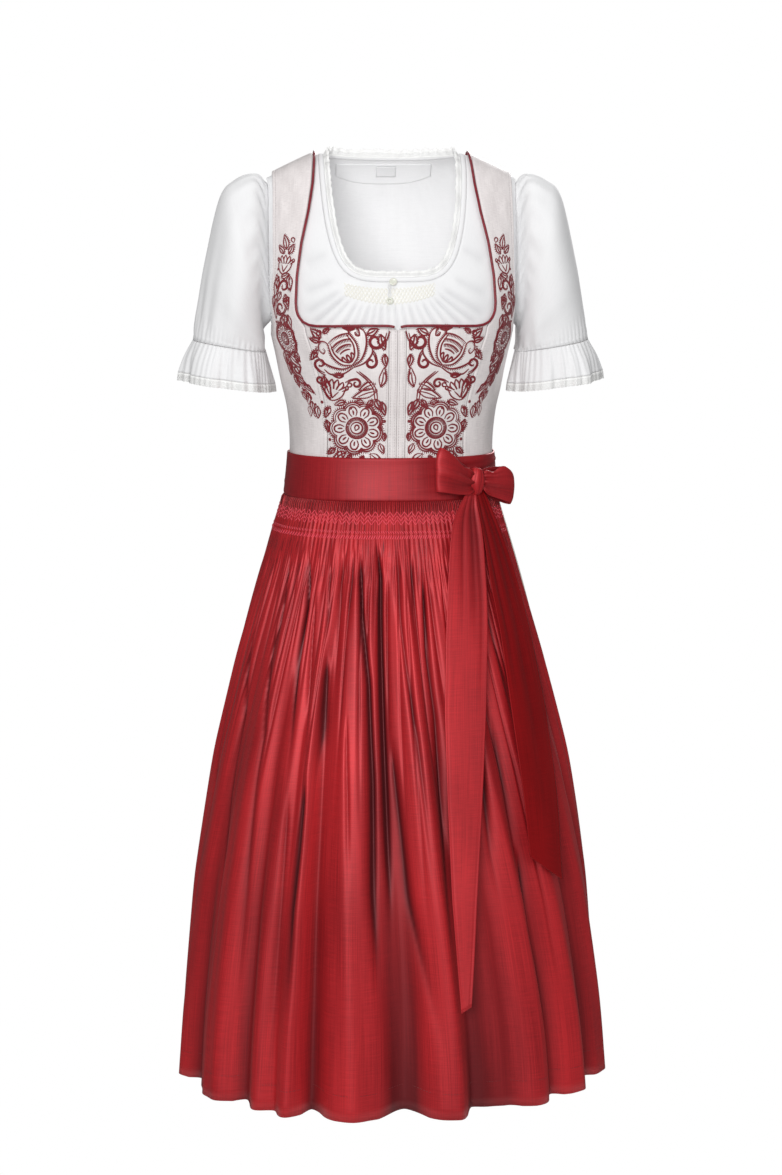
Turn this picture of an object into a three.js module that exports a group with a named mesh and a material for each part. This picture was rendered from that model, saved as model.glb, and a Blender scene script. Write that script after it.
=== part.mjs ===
// A dirndl as worn, with no wearer: blouse, hook-front bodice with its skirt, and a tied apron.
// Millimetres, +Z up. The front faces -Y and the wearer's left is +X. The origin lies between the
// shoulder seams, where the wearer's shoulders carry the garment.
import * as THREE from 'three';

// Driving sizes
const seamGap = 0.3;
const bodiceWall = 1.6;
const blouseWall = 1.2;
const blouseClearance = 2.4;
const bandWall = 1.8;
const bandClearance = 0.9;
const skirtWall = 2.0;
const apronWall = 1.8;
const waistSeamZ = -352;
const bandTopZ = -347;
const bandBottomZ = -397;
const hemZ = -1088;
const skirtHemRise = 5;
const neckHalfWidth = 82;
const neckDepth = 145;
const backNeckDepth = 12;
const neckSquareness = { front: 4.2, back: 2.6 };
const shoulderStartX = 88;
const shoulderSlope = 0.49;
const shoulderEase = 8;
const shoulderFadeStation = 5;
const pipingRadius = 1.5;
const pipingSides = 5;
const pipingGap = 0.7;
const pipingSink = 0.1;
const bindingWidth = 6.5;
const bindingHeight = 2.2;
const bindingSink = 0.3;
const neckLaceWidth = 10;
const neckLaceBase = 0.2;
const neckLaceRuffle = 1.2;
const laceWall = 1.0;
const cuffLaceWidth = 9;
const cuffFlare = 0.12;
const sleeveWall = 1.2;

// Neck lace: its rise off the blouse at the front and at the back, and the depths between which
// it goes from one to the other
const neckLaceRise = { front: 8, back: 62, fromY: -20, toY: 25 };

// Limits that keep sums defined, and steps for slopes and searches
const nearlyOne = 0.9999;
const tailEdgeLimit = 0.999;
const nearlyZero = 1e-6;
const firstStation = 0.01;
const offCentre = 0.001;
const turnStep = 0.05;
const stationStep = 0.002;
const halvings = 40;
const sharedDigits = 4;

// Layers, measured out from the outer face of the bodice
const blouseOuter = -bodiceWall - blouseClearance;
const blouseInner = blouseOuter - blouseWall;

// Torso sections: a row for each height, with half width, depth to the front and to the back, and
// the power of the section's superellipse
const torsoSections = [
  { z: 0, halfWidth: 150, front: 0, back: 0, power: 2.8 },
  { z: -5, halfWidth: 150, front: 20, back: 20, power: 2.8 },
  { z: -18, halfWidth: 150, front: 40, back: 38, power: 2.8 },
  { z: -45, halfWidth: 150, front: 62, back: 56, power: 2.8 },
  { z: -85, halfWidth: 150, front: 83, back: 72, power: 2.8 },
  { z: -130, halfWidth: 149, front: 101, back: 86, power: 2.75 },
  { z: -170, halfWidth: 147, front: 115, back: 95, power: 2.7 },
  { z: -205, halfWidth: 141, front: 124, back: 100, power: 2.55 },
  { z: -235, halfWidth: 134.5, front: 123, back: 100, power: 2.45 },
  { z: -268, halfWidth: 127.8, front: 116, back: 97, power: 2.4 },
  { z: -301, halfWidth: 121, front: 107, back: 91, power: 2.35 },
  { z: -346, halfWidth: 118.6, front: 99, back: 86, power: 2.3 },
  { z: -397, halfWidth: 123.6, front: 104, back: 94, power: 2.25 },
];

// Outer face of the apron and, where it doesn't reach, of the skirt, without the folds
const skirtSections = [
  { z: -352, halfWidth: 121.4, front: 101, back: 88, power: 2.3 },
  { z: -397, halfWidth: 126, front: 106, back: 96, power: 2.25 },
  { z: -430, halfWidth: 137, front: 119, back: 114, power: 2.2 },
  { z: -500, halfWidth: 158, front: 141, back: 139, power: 2.15 },
  { z: -584, halfWidth: 181, front: 160, back: 160, power: 2.12 },
  { z: -700, halfWidth: 206, front: 181, back: 183, power: 2.1 },
  { z: -850, halfWidth: 229, front: 197, back: 200, power: 2.08 },
  { z: -1000, halfWidth: 244, front: 205, back: 208, power: 2.06 },
  { z: -1088, halfWidth: 250, front: 208, back: 211, power: 2.05 },
];

// Crests and troughs of the skirt's folds at the hem, from the front round by the wearer's left
const skirtFolds = [
  { angle: -180, reach: -12 },
  { angle: -169, reach: 12 },
  { angle: -158, reach: -14 },
  { angle: -147, reach: 12 },
  { angle: -136, reach: -12 },
  { angle: -125, reach: 4 },
  { angle: -114, reach: -8 },
  { angle: -102, reach: 9 },
  { angle: -90, reach: -4 },
  { angle: -82, reach: 7 },
  { angle: -72, reach: -10 },
  { angle: -55, reach: 12 },
  { angle: -46, reach: -9 },
  { angle: -40, reach: 8 },
  { angle: -35, reach: 0 },
  { angle: -30, reach: 17 },
  { angle: -25, reach: -11 },
  { angle: -14, reach: 15 },
  { angle: 1, reach: -17 },
  { angle: 14, reach: 15 },
  { angle: 20, reach: -12 },
  { angle: 30, reach: -7 },
  { angle: 40, reach: 9 },
  { angle: 46, reach: -7 },
  { angle: 56, reach: 10 },
  { angle: 66, reach: -9 },
  { angle: 78, reach: 9 },
  { angle: 90, reach: -6 },
  { angle: 101, reach: 8 },
  { angle: 110, reach: -3 },
  { angle: 121, reach: 11 },
  { angle: 132, reach: -13 },
  { angle: 144, reach: 12 },
  { angle: 156, reach: -14 },
  { angle: 168, reach: 12 },
  { angle: 180, reach: -12 },
];
const foldColumns = { shown: 3, hidden: 1 };
const foldTopZ = -405;
const foldGrowthPower = 0.85;
const troughLift = 0.35;

// Side edges of the apron: angle at the band and at the hem
const apronEdges = {
  right: { top: -96, hem: -125 },
  left: { top: 80, hem: 110 },
};
const skirtRows = [-352.3, -397.3, -530, -740, -1088];
const apronNest = { top: 0.9, hem: 7, fullZ: -640 };
const bandMiddleZ = -372;
const bandSteps = 20;
const tieGap = 0.07;

// Edge of the bodice at the neck and along the princess seam, seen from the front
const bodiceInnerEdge = [
  { z: 0, x: 88 },
  { z: -37, x: 91 },
  { z: -69, x: 97 },
  { z: -104, x: 105 },
  { z: -142, x: 110 },
  { z: -177, x: 111 },
  { z: -188, x: 109.5 },
  { z: -195.5, x: 105.5 },
  { z: -205, x: 104 },
  { z: -229, x: 95 },
  { z: -259, x: 87 },
  { z: -287, x: 81 },
  { z: -321, x: 78 },
  { z: -360, x: 78 },
];
const bodiceNeckline = [
  { x: 0, z: -199.5 },
  { x: 3, z: -198 },
  { x: 10, z: -196.4 },
  { x: 40, z: -196.2 },
  { x: 72, z: -197 },
  { x: 88, z: -197.6 },
  { x: 105.5, z: -195.5 },
];
const backInnerEdge = [
  { z: 0, x: 88 },
  { z: -20, x: 88 },
  { z: -45, x: 86 },
  { z: -66, x: 79 },
  { z: -77, x: 68 },
  { z: -130, x: 64 },
  { z: -220, x: 58 },
  { z: -300, x: 51 },
  { z: -360, x: 50 },
];
const backNeckline = [
  { x: 0, z: -82 },
  { x: 40, z: -81 },
  { x: 60, z: -78.5 },
  { x: 68, z: -77 },
];
const placketHalfWidth = 9.7;
const frontNeckZ = -197;
const backNeckZ = -77;
const lowerRows = [-209, -240, -268, -300, -330, waistSeamZ];
const bodiceRows = [0, -8, -28, -58, -95, -130, -165, -184, -197].concat(lowerRows);
const backRows = [0, -8, -24, -45, -66, -77, -120, -170, -190, -203].concat(lowerRows);
const panelSteps = { placket: 1, frontCentre: 5, frontSide: 4, backSide: 5, backCentre: 6 };

// Piping: heights of its points along the straps, and places across along the necklines
const pipingPlaces = {
  strapZs: [0, -6, -20, -48, -80, -115, -150, -177, -188],
  frontXs: [105.5, 98, 90, 72, 54, 32, 10, 4],
  backZs: [-1, -8, -24, -45, -66, -74],
  backXs: [64, 50, 28],
};

// Armholes: angle from the side line at the shoulder, and depth below the ridge of the shoulder
const bodiceArmhole = { angle: 31, depth: 209, squareness: 3.4 };
const blouseArmhole = { angle: 19, depth: 199, squareness: 3.0 };
const blouseHemZ = -262;
const blouseHalfSteps = 14;
const blouseSteps = 2 * blouseHalfSteps;
const armholeSteps = 8;
const backRowSpacing = 1.5;
const blouseRings = { front: 6, back: 8 };

// Patches inside the back of the neck, each a depth below the inner face of the blouse
const facingPatch = { halfWidth: 52, topZ: -15, bottomZ: -45, centreX: -7, rows: 3, columns: 6 };
const labelPatch = { halfWidth: 12, topZ: -17, bottomZ: -27, centreX: -4, rows: 1, columns: 2 };
const facingDepth = 1.1;
const patchWall = 1;
const labelDepth = 1.5;

const buttons = [
  { name: 'button_top', x: -4, z: -148, radius: 4.5, lift: 1.0 },
  { name: 'button_lower', x: -8, z: -169, radius: 4.0, lift: 0.35 },
];
const buttonThickness = 2.2;
const buttonSides = 12;

// Sleeve rings after the armhole: top point, bottom point and half depth of each
const sleeveRings = [
  { topX: 156, topZ: -27, bottomX: 148, bottomZ: -205, halfDepth: 50 },
  { topX: 178, topZ: -33, bottomX: 147.5, bottomZ: -213, halfDepth: 61 },
  { topX: 197, topZ: -54, bottomX: 147.5, bottomZ: -218, halfDepth: 66 },
  { topX: 214, topZ: -124, bottomX: 147, bottomZ: -224, halfDepth: 65 },
  { topX: 222, topZ: -168, bottomX: 146.5, bottomZ: -227, halfDepth: 60 },
  { topX: 230, topZ: -217, bottomX: 145.5, bottomZ: -231, halfDepth: 54 },
];
const frillRings = [
  { topX: 230.2, topZ: -217.5, bottomX: 145.5, bottomZ: -231.5, halfDepth: 54, wave: 0.2 },
  { topX: 239, topZ: -236, bottomX: 142, bottomZ: -251, halfDepth: 59, wave: 2.2 },
  { topX: 244, topZ: -254, bottomX: 139.5, bottomZ: -268, halfDepth: 62, wave: 3.6 },
];
const sleevePower = 2.2;
const armholeInset = 4.6;
const armholeCentreZ = -112;
const frillWaves = 6;
const frillStepsPerWave = 4;
const sleeveColumns = 16;

// Bow at the wearer's left: its knot, loops and tails
const knot = { x: 85, z: -377, halfWidth: 10, halfHeight: 16, halfDepth: 9, power: 0.8 };
const knotSteps = { round: 14, up: 8 };
const rightLoop = { side: -1, length: 48, tilt: 19, rootHeight: 21, endHeight: 47 };
const leftLoop = { side: 1, length: 47, tilt: -10, rootHeight: 21, endHeight: 38 };
const bowLoopWall = 1.4;
const bowLayers = { front: 16, back: 4, bulge: 4, rootShare: 0.4 };
const loopTurns = 8;
const loopPower = 0.7;
const loopStart = 0.1;

// Tails: left and right edge at each height, and how far each edge stands off the apron's crests
const longTail = [
  { z: -392.2, left: 72, right: 85.8, leftLift: 9, rightLift: 8.5 },
  { z: -416, left: 58.5, right: 89, leftLift: 13, rightLift: 11 },
  { z: -440, left: 55.5, right: 92.3, leftLift: 12, rightLift: 11 },
  { z: -500, left: 52.5, right: 96.5, leftLift: 8, rightLift: 9 },
  { z: -540, left: 51, right: 96.5, leftLift: 6, rightLift: 9 },
  { z: -626, left: 48.5, right: 94, leftLift: 5, rightLift: 8 },
  { z: -716, left: 50.5, right: 89.5, leftLift: 4, rightLift: 7 },
  { z: -835, left: 55, right: 82, leftLift: 4, rightLift: 8 },
  { z: -964, left: 65, right: 75.5, leftLift: 4, rightLift: 8 },
];
const shortTail = [
  { z: -392.2, left: 86.4, right: 98, leftLift: 8.5, rightLift: 8 },
  { z: -416, left: 91, right: 109, leftLift: 8, rightLift: 7 },
  { z: -441, left: 95, right: 119.5, leftLift: 8, rightLift: 6 },
  { z: -492, left: 102.5, right: 137, leftLift: 7, rightLift: 5 },
  { z: -544, left: 113.5, right: 150.5, leftLift: 5, rightLift: 4 },
  { z: -633, left: 126, right: 168, leftLift: 4, rightLift: 4 },
  { z: -724, left: 138.5, right: 179.5, leftLift: 4, rightLift: 4 },
  { z: -797, left: 146, right: 185.5, leftLift: 4, rightLift: 4 },
];
const endSlants = { long: -8, short: 34 };
const tallestCrest = 17;
const tailSteps = 3;
const tailWall = 1.4;

const materials = {
  weave: cloth('#d8cfd0', 0.62),
  cotton: cloth('#f3f3f4', 0.85),
  lace: cloth('#f5f5f4', 0.9),
  piping: cloth('#851327', 0.5),
  taffeta: cloth('#a02b33', 0.42),
  skirt: cloth('#ddd6c9', 0.7),
  button: cloth('#dcdccb', 0.25),
  label: cloth('#e2e2e4', 0.6),
};

const garment = new THREE.Group();

function cloth(colour, roughness) {
  return new THREE.MeshStandardMaterial({ color: colour, roughness, metalness: 0 });
}

function radians(degrees) {
  return (degrees * Math.PI) / 180;
}

function radiansToDegrees(angle) {
  return (angle * 180) / Math.PI;
}

function mix(from, to, share) {
  return from + (to - from) * share;
}

function smoothShare(start, end, value) {
  const share = Math.min(1, Math.max(0, (value - start) / (end - start)));
  return share * share * (3 - 2 * share);
}

// Value of one column at another column's value, in straight steps between the rows
function lookUp(table, fromColumn, toColumn, value) {
  const rising = table[table.length - 1][fromColumn] > table[0][fromColumn];
  let index = 0;
  while (
    index < table.length - 2 &&
    (rising ? value > table[index + 1][fromColumn] : value < table[index + 1][fromColumn])
  ) {
    index += 1;
  }
  const before = table[index];
  const after = table[index + 1];
  const share = (value - before[fromColumn]) / (after[fromColumn] - before[fromColumn]);
  return mix(before[toColumn], after[toColumn], Math.min(1, Math.max(0, share)));
}

function curveThrough(before, from, to, after, share) {
  const bend = 2 * before - 5 * from + 4 * to - after;
  const twist = -before + 3 * from - 3 * to + after;
  return 0.5 * (2 * from + (to - before) * share + bend * share ** 2 + twist * share ** 3);
}

// Section of the torso at a station: 0 is the ridge of the shoulder, and each row is one on
function torsoSection(station) {
  const index = Math.min(Math.floor(station), torsoSections.length - 2);
  const share = station - index;
  const section = {};
  for (const column of ['z', 'halfWidth', 'front', 'back', 'power']) {
    const mirrored = column === 'front' || column === 'back' ? -1 : 1;
    const from = torsoSections[index][column];
    const to = torsoSections[index + 1][column];
    const first = index === 0;
    const before = first ? mirrored * to : torsoSections[index - 1][column];
    const last = index + 2 >= torsoSections.length;
    const after = last ? 2 * to - from : torsoSections[index + 2][column];
    section[column] = curveThrough(before, from, to, after, share);
  }
  return section;
}

function stationAt(z) {
  let low = 0;
  let high = torsoSections.length - 1;
  for (let step = 0; step < halvings; step += 1) {
    const middle = (low + high) / 2;
    if (torsoSection(middle).z > z) {
      low = middle;
    } else {
      high = middle;
    }
  }
  return low;
}

// Point at an angle on a superellipse of unit half width
function unitSuperellipse(angle, power) {
  const sine = Math.sin(angle);
  const cosine = Math.cos(angle);
  const size = (Math.abs(sine) ** power + Math.abs(cosine) ** power) ** (1 / power);
  return { across: sine / size, along: cosine / size };
}

function torsoSurface(degrees, station) {
  const section = torsoSection(station);
  const unit = unitSuperellipse(radians(degrees), section.power);
  const x = section.halfWidth * unit.across;
  const y = -(unit.along > 0 ? section.front : section.back) * unit.along;
  const beyond = Math.abs(x) - shoulderStartX;
  const eased = (beyond + Math.sqrt(beyond ** 2 + shoulderEase ** 2)) / 2;
  const fade = 1 - smoothShare(0, shoulderFadeStation, station);
  return new THREE.Vector3(x, y, section.z - shoulderSlope * eased * fade);
}

function torsoNormal(degrees, station) {
  const above = torsoSurface(degrees, Math.max(station - stationStep, 0));
  const down = torsoSurface(degrees, station + stationStep).sub(above);
  const before = torsoSurface(degrees - turnStep, station);
  const round = torsoSurface(degrees + turnStep, station).sub(before);
  return down.cross(round).normalize();
}

function torsoPoint(degrees, station, offset) {
  return torsoSurface(degrees, station).addScaledVector(torsoNormal(degrees, station), offset);
}

function angleForX(x, station, atBack = false) {
  const section = torsoSection(station);
  const across = Math.min(Math.abs(x) / section.halfWidth, nearlyOne);
  const along = (1 - across ** section.power) ** (1 / section.power);
  const degrees = radiansToDegrees(Math.atan2(across, along));
  return Math.sign(x) * (atBack ? 180 - degrees : degrees);
}

// Closed wall between two grids of points with the same rows and columns
function wall(outer, inner, closedRound = false) {
  const rows = outer.length;
  const columns = outer[0].length;
  const positions = [];
  for (const grid of [outer, inner]) {
    for (const row of grid) {
      for (const point of row) {
        positions.push(point.x, point.y, point.z);
      }
    }
  }
  const outerAt = (row, column) => row * columns + (column % columns);
  const innerAt = (row, column) => rows * columns + outerAt(row, column);
  const faces = [];
  const quad = (a, b, c, d) => faces.push(a, b, c, a, c, d);
  const spans = closedRound ? columns : columns - 1;
  for (let row = 0; row < rows - 1; row += 1) {
    for (let column = 0; column < spans; column += 1) {
      const next = column + 1;
      quad(outerAt(row, column), outerAt(row + 1, column), outerAt(row + 1, next), outerAt(row, next));
      quad(innerAt(row, column), innerAt(row, next), innerAt(row + 1, next), innerAt(row + 1, column));
    }
  }
  for (let column = 0; column < spans; column += 1) {
    const next = column + 1;
    const last = rows - 1;
    quad(outerAt(0, column), outerAt(0, next), innerAt(0, next), innerAt(0, column));
    quad(outerAt(last, next), outerAt(last, column), innerAt(last, column), innerAt(last, next));
  }
  if (!closedRound) {
    const end = columns - 1;
    for (let row = 0; row < rows - 1; row += 1) {
      quad(outerAt(row + 1, 0), outerAt(row, 0), innerAt(row, 0), innerAt(row + 1, 0));
      quad(outerAt(row, end), outerAt(row + 1, end), innerAt(row + 1, end), innerAt(row, end));
    }
  }
  return solidGeometry(positions, faces);
}

// Turns every face out: the volume of a closed body is positive when they all are
function solidGeometry(positions, faces) {
  const corner = (index) => new THREE.Vector3().fromArray(positions, index * 3);
  let volume = 0;
  for (let face = 0; face < faces.length; face += 3) {
    const first = corner(faces[face]);
    const second = corner(faces[face + 1]);
    const third = corner(faces[face + 2]);
    volume += first.dot(second.cross(third));
  }
  const ordered = volume > 0 ? faces : faces.slice().reverse();
  const geometry = new THREE.BufferGeometry();
  geometry.setAttribute('position', new THREE.Float32BufferAttribute(positions, 3));
  geometry.setIndex(ordered);
  geometry.computeVertexNormals();
  return geometry;
}

function add(name, geometry, material) {
  const mesh = new THREE.Mesh(geometry, material);
  mesh.name = name;
  garment.add(mesh);
}

// Wall on the torso from a grid of places, each an angle and a station
function torsoWall(places, outerOffset, innerOffset, closedRound = false) {
  const layer = (offset) =>
    places.map((row) => row.map((place) => torsoPoint(place.angle, place.station, offset)));
  return wall(layer(outerOffset), layer(innerOffset), closedRound);
}

function mirrorPlaces(places) {
  return places.map((row) => row.map((place) => ({ angle: -place.angle, station: place.station })));
}

function angleGap(station) {
  return radiansToDegrees(seamGap / 2 / torsoSection(station).halfWidth);
}

function ridgeStation(z) {
  return z === 0 ? firstStation : stationAt(z);
}

// Angle of an armhole's edge from the front, at a height above its lowest point
function armholeAngle(armhole, z) {
  const depth = Math.min(1, -z / armhole.depth);
  return 90 - armhole.angle * (1 - depth ** armhole.squareness) ** (1 / armhole.squareness);
}

function sidePanel(rows, innerEdge, atBack) {
  return rows.map((z) => {
    const station = ridgeStation(z);
    const gap = angleGap(station);
    const edge = angleForX(lookUp(innerEdge, 'z', 'x', z), station, atBack);
    const open = z > -bodiceArmhole.depth;
    const side = open ? armholeAngle(bodiceArmhole, z) : 90;
    const inner = atBack ? edge - gap : edge + gap;
    const outer = atBack ? 180 - side + gap : side - gap;
    const steps = atBack ? panelSteps.backSide : panelSteps.frontSide;
    return spread(inner, outer, steps).map((angle) => ({ angle, station }));
  });
}

function spread(from, to, steps) {
  const values = [];
  for (let step = 0; step <= steps; step += 1) {
    values.push(mix(from, to, step / steps));
  }
  return values;
}

// Panel between two upright seams, with its top along a neckline
function centrePanel(leftX, rightX, neckline, rows, steps, atBack) {
  return rows.map((rowZ, row) =>
    spread(0, 1, steps).map((share) => {
      const topX = mix(leftX(rowZ), rightX(rowZ), share);
      const z = row === 0 ? lookUp(neckline, 'x', 'z', Math.abs(topX)) : rowZ;
      const station = stationAt(z);
      const angle = Math.abs(topX) < nearlyZero ? 0 : angleForX(topX, station, atBack);
      return { angle: atBack ? (angle + 360) % 360 : angle, station };
    }),
  );
}

function addBodice() {
  const frontRows = bodiceRows.filter((z) => z <= frontNeckZ);
  const placketEdge = placketHalfWidth - seamGap / 2;
  const frontPanel = (fromX, toX, steps) =>
    centrePanel(fromX, toX, bodiceNeckline, frontRows, steps, false);
  const princess = (z) => lookUp(bodiceInnerEdge, 'z', 'x', z) - seamGap / 2;
  const pieces = {
    front_placket: frontPanel(() => seamGap / 2, () => placketEdge, panelSteps.placket),
    front_centre: frontPanel(() => placketEdge + seamGap, princess, panelSteps.frontCentre),
    front_side: sidePanel(bodiceRows, bodiceInnerEdge, false),
    back_side: sidePanel(backRows, backInnerEdge, true),
  };
  for (const [name, places] of Object.entries(pieces)) {
    add(`${name}_left`, torsoWall(places, 0, -bodiceWall), materials.weave);
    add(`${name}_right`, torsoWall(mirrorPlaces(places), 0, -bodiceWall), materials.weave);
  }
  const backHalf = (z) => lookUp(backInnerEdge, 'z', 'x', z) - seamGap / 2;
  const centreRows = backRows.filter((z) => z <= backNeckZ);
  const steps = panelSteps.backCentre;
  const backCentre = centrePanel((z) => -backHalf(z), backHalf, backNeckline, centreRows, steps, true);
  for (const row of backCentre) {
    row[steps / 2].angle = 180;
  }
  add('back_centre', torsoWall(backCentre, 0, -bodiceWall), materials.weave);
}

// Blouse neckline at a turn from 0 at the left shoulder to 180 at the right one
function neckPlace(turn, atBack) {
  const power = atBack ? neckSquareness.back : neckSquareness.front;
  const unit = unitSuperellipse(radians(turn), power);
  const deepest = stationAt(atBack ? -backNeckDepth : -neckDepth);
  const station = Math.max(firstStation, deepest * unit.across);
  const x = -neckHalfWidth * unit.along;
  if (Math.abs(x) < nearlyZero) {
    return { angle: atBack ? 180 : 0, station };
  }
  const angle = angleForX(x, station, atBack);
  return { angle: atBack ? (angle + 360) % 360 : angle, station };
}

// Outer boundary of half a blouse panel: armhole, side seam and hem, in shares of its length
function blouseBoundary(share) {
  const armholeShare = armholeSteps / blouseHalfSteps;
  const sideShare = (armholeSteps + 1) / blouseHalfSteps;
  const hemStation = stationAt(blouseHemZ);
  const gap = angleGap(hemStation);
  if (share <= armholeShare) {
    const turn = (share / armholeShare) * (Math.PI / 2);
    const quarter = unitSuperellipse(turn, blouseArmhole.squareness);
    const station = Math.max(firstStation, stationAt(-blouseArmhole.depth * quarter.across));
    return { angle: 90 - gap - blouseArmhole.angle * quarter.along, station };
  }
  const underarm = stationAt(-blouseArmhole.depth);
  if (share <= sideShare) {
    const down = (share - armholeShare) / (sideShare - armholeShare);
    return { angle: 90 - gap, station: mix(underarm, hemStation, down) };
  }
  const inward = (share - sideShare) / (1 - sideShare);
  return { angle: (90 - gap) * (1 - inward), station: hemStation };
}

function blousePanel(atBack) {
  const places = [];
  for (const share of spread(0, 1, atBack ? blouseRings.back : blouseRings.front)) {
    const outward = atBack ? share ** backRowSpacing : share;
    const row = [];
    for (let column = 0; column <= blouseSteps; column += 1) {
      const turn = (180 * column) / blouseSteps;
      const neck = neckPlace(turn, atBack);
      const half = Math.min(turn, 180 - turn) / 90;
      const edge = blouseBoundary(half);
      const side = turn < 90 ? -1 : 1;
      const edgeAngle = side * (atBack ? 180 - edge.angle : edge.angle);
      const angle = atBack ? (edgeAngle + 360) % 360 : edgeAngle;
      row.push({
        angle: mix(neck.angle, angle, outward),
        station: mix(neck.station, edge.station, outward),
      });
    }
    places.push(row);
  }
  return places;
}

// Frames along a path of places on the torso: the surface's normal and the way into the opening
function pathFrames(places, offset, closed) {
  const points = places.map((place) => torsoPoint(place.angle, place.station, offset));
  const count = points.length;
  return points.map((point, index) => {
    const before = closed ? points[(index - 1 + count) % count] : points[Math.max(index - 1, 0)];
    const after = closed ? points[(index + 1) % count] : points[Math.min(index + 1, count - 1)];
    const along = after.clone().sub(before).normalize();
    const normal = torsoNormal(places[index].angle, places[index].station);
    const inward = normal.clone().cross(along).normalize();
    return { point, along, normal, inward };
  });
}

// Sweeps a section along frames: each corner is a distance inward and a height off the surface
function sweep(frames, sectionAt, closed) {
  const rings = frames.map((frame, index) =>
    sectionAt(index, frame).map((corner) =>
      frame.point
        .clone()
        .addScaledVector(frame.inward, corner.inward)
        .addScaledVector(frame.normal, corner.height),
    ),
  );
  const corners = rings[0].length;
  const positions = [];
  for (const point of rings.flat()) {
    positions.push(point.x, point.y, point.z);
  }
  const faces = [];
  const spans = closed ? rings.length : rings.length - 1;
  for (let ring = 0; ring < spans; ring += 1) {
    const here = ring * corners;
    const there = ((ring + 1) % rings.length) * corners;
    for (let corner = 0; corner < corners; corner += 1) {
      const next = (corner + 1) % corners;
      faces.push(here + corner, there + corner, there + next);
      faces.push(here + corner, there + next, here + next);
    }
  }
  if (!closed) {
    const last = (rings.length - 1) * corners;
    for (let corner = 1; corner < corners - 1; corner += 1) {
      faces.push(0, corner, corner + 1);
      faces.push(last, last + corner + 1, last + corner);
    }
  }
  return solidGeometry(positions, faces);
}

function neckLoop(stepsEachHalf) {
  const loop = [];
  for (let step = 0; step < stepsEachHalf; step += 1) {
    loop.push(neckPlace((180 * step) / stepsEachHalf, false));
  }
  for (let step = 0; step < stepsEachHalf; step += 1) {
    loop.push(neckPlace(180 - (180 * step) / stepsEachHalf, true));
  }
  return loop;
}

function addBlouseBody() {
  add('blouse_front', torsoWall(blousePanel(false), blouseOuter, blouseInner), materials.cotton);
  add('blouse_back', torsoWall(blousePanel(true), blouseOuter, blouseInner), materials.cotton);
  const frames = pathFrames(neckLoop(blouseSteps), blouseInner, true);
  const low = -bindingSink;
  const high = bindingHeight - bindingSink;
  const far = bindingWidth + seamGap;
  const binding = [
    { inward: seamGap, height: low },
    { inward: far, height: low },
    { inward: far, height: high },
    { inward: seamGap, height: high },
  ];
  add('neck_binding', sweep(frames, () => binding, true), materials.cotton);
  add('neck_lace', neckLace(), materials.lace);
}

// Ruffled lace along the neck: it lies in the opening at the front and stands up at the back
function neckLace() {
  const frames = pathFrames(neckLoop(blouseSteps), blouseInner, true);
  const start = bindingWidth + 2 * seamGap;
  const { front, back, fromY, toY } = neckLaceRise;
  return sweep(
    frames,
    (index, frame) => {
      const rise = radians(mix(front, back, smoothShare(fromY, toY, frame.point.y)));
      const ruffle = neckLaceRuffle * Math.sin((index * Math.PI) / 2);
      const end = start + neckLaceWidth * Math.cos(rise);
      const climb = neckLaceBase + neckLaceWidth * Math.sin(rise) + ruffle;
      return [
        { inward: start, height: neckLaceBase },
        { inward: end, height: climb },
        { inward: end, height: climb + laceWall },
        { inward: start, height: neckLaceBase + laceWall },
      ];
    },
    true,
  );
}

// The facing patch inside the back of the neck, and the bare label sewn on it
function addBackNeck() {
  const facingOuter = blouseInner - facingDepth;
  const facing = torsoWall(neckPatch(facingPatch), facingOuter, facingOuter - patchWall);
  add('back_neck_facing', facing, materials.cotton);
  const labelOuter = facingOuter - labelDepth;
  const label = torsoWall(neckPatch(labelPatch), labelOuter, labelOuter - patchWall);
  add('neck_label', label, materials.label);
}

function neckPatch(patch) {
  return spread(0, 1, patch.rows).map((down) =>
    spread(-1, 1, patch.columns).map((share) => {
      const station = stationAt(mix(patch.topZ, patch.bottomZ, down));
      const x = patch.centreX + share * patch.halfWidth - offCentre;
      return { angle: (angleForX(x, station, true) + 360) % 360, station };
    }),
  );
}

function addPiping() {
  const corners = [];
  for (let corner = 0; corner < pipingSides; corner += 1) {
    const turn = (2 * Math.PI * corner) / pipingSides;
    corners.push({
      inward: pipingRadius + pipingGap + pipingRadius * Math.cos(turn),
      height: pipingRadius * Math.sin(turn) - pipingSink,
    });
  }
  const pipe = (name, places) => {
    const frames = pathFrames(places, 0, false);
    add(name, sweep(frames, () => corners, false), materials.piping);
  };
  const { strapZs, frontXs, backZs, backXs } = pipingPlaces;
  const strap = strapZs.map((z) => frontNeckPlace(lookUp(bodiceInnerEdge, 'z', 'x', z), z));
  const lower = frontXs.map((x) => frontNeckPlace(x, lookUp(bodiceNeckline, 'x', 'z', x)));
  const left = strap.concat(lower);
  pipe('piping_right', mirrorPlaces([left])[0]);
  pipe('piping_left', left.reverse());
  const backStrap = backZs.map((z) => backNeckPlace(lookUp(backInnerEdge, 'z', 'x', z), z));
  const backLower = backXs.map((x) => backNeckPlace(x, lookUp(backNeckline, 'x', 'z', x)));
  const half = backStrap.concat(backLower);
  const centre = { angle: 180, station: stationAt(backNeckline[0].z) };
  const otherHalf = half.map((place) => ({ ...place, angle: 360 - place.angle })).reverse();
  pipe('piping_back', half.concat([centre], otherHalf));
}

function frontNeckPlace(x, z) {
  const station = ridgeStation(z);
  return { angle: angleForX(x, station), station };
}

function backNeckPlace(x, z) {
  const station = ridgeStation(z);
  return { angle: angleForX(x, station, true), station };
}

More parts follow.
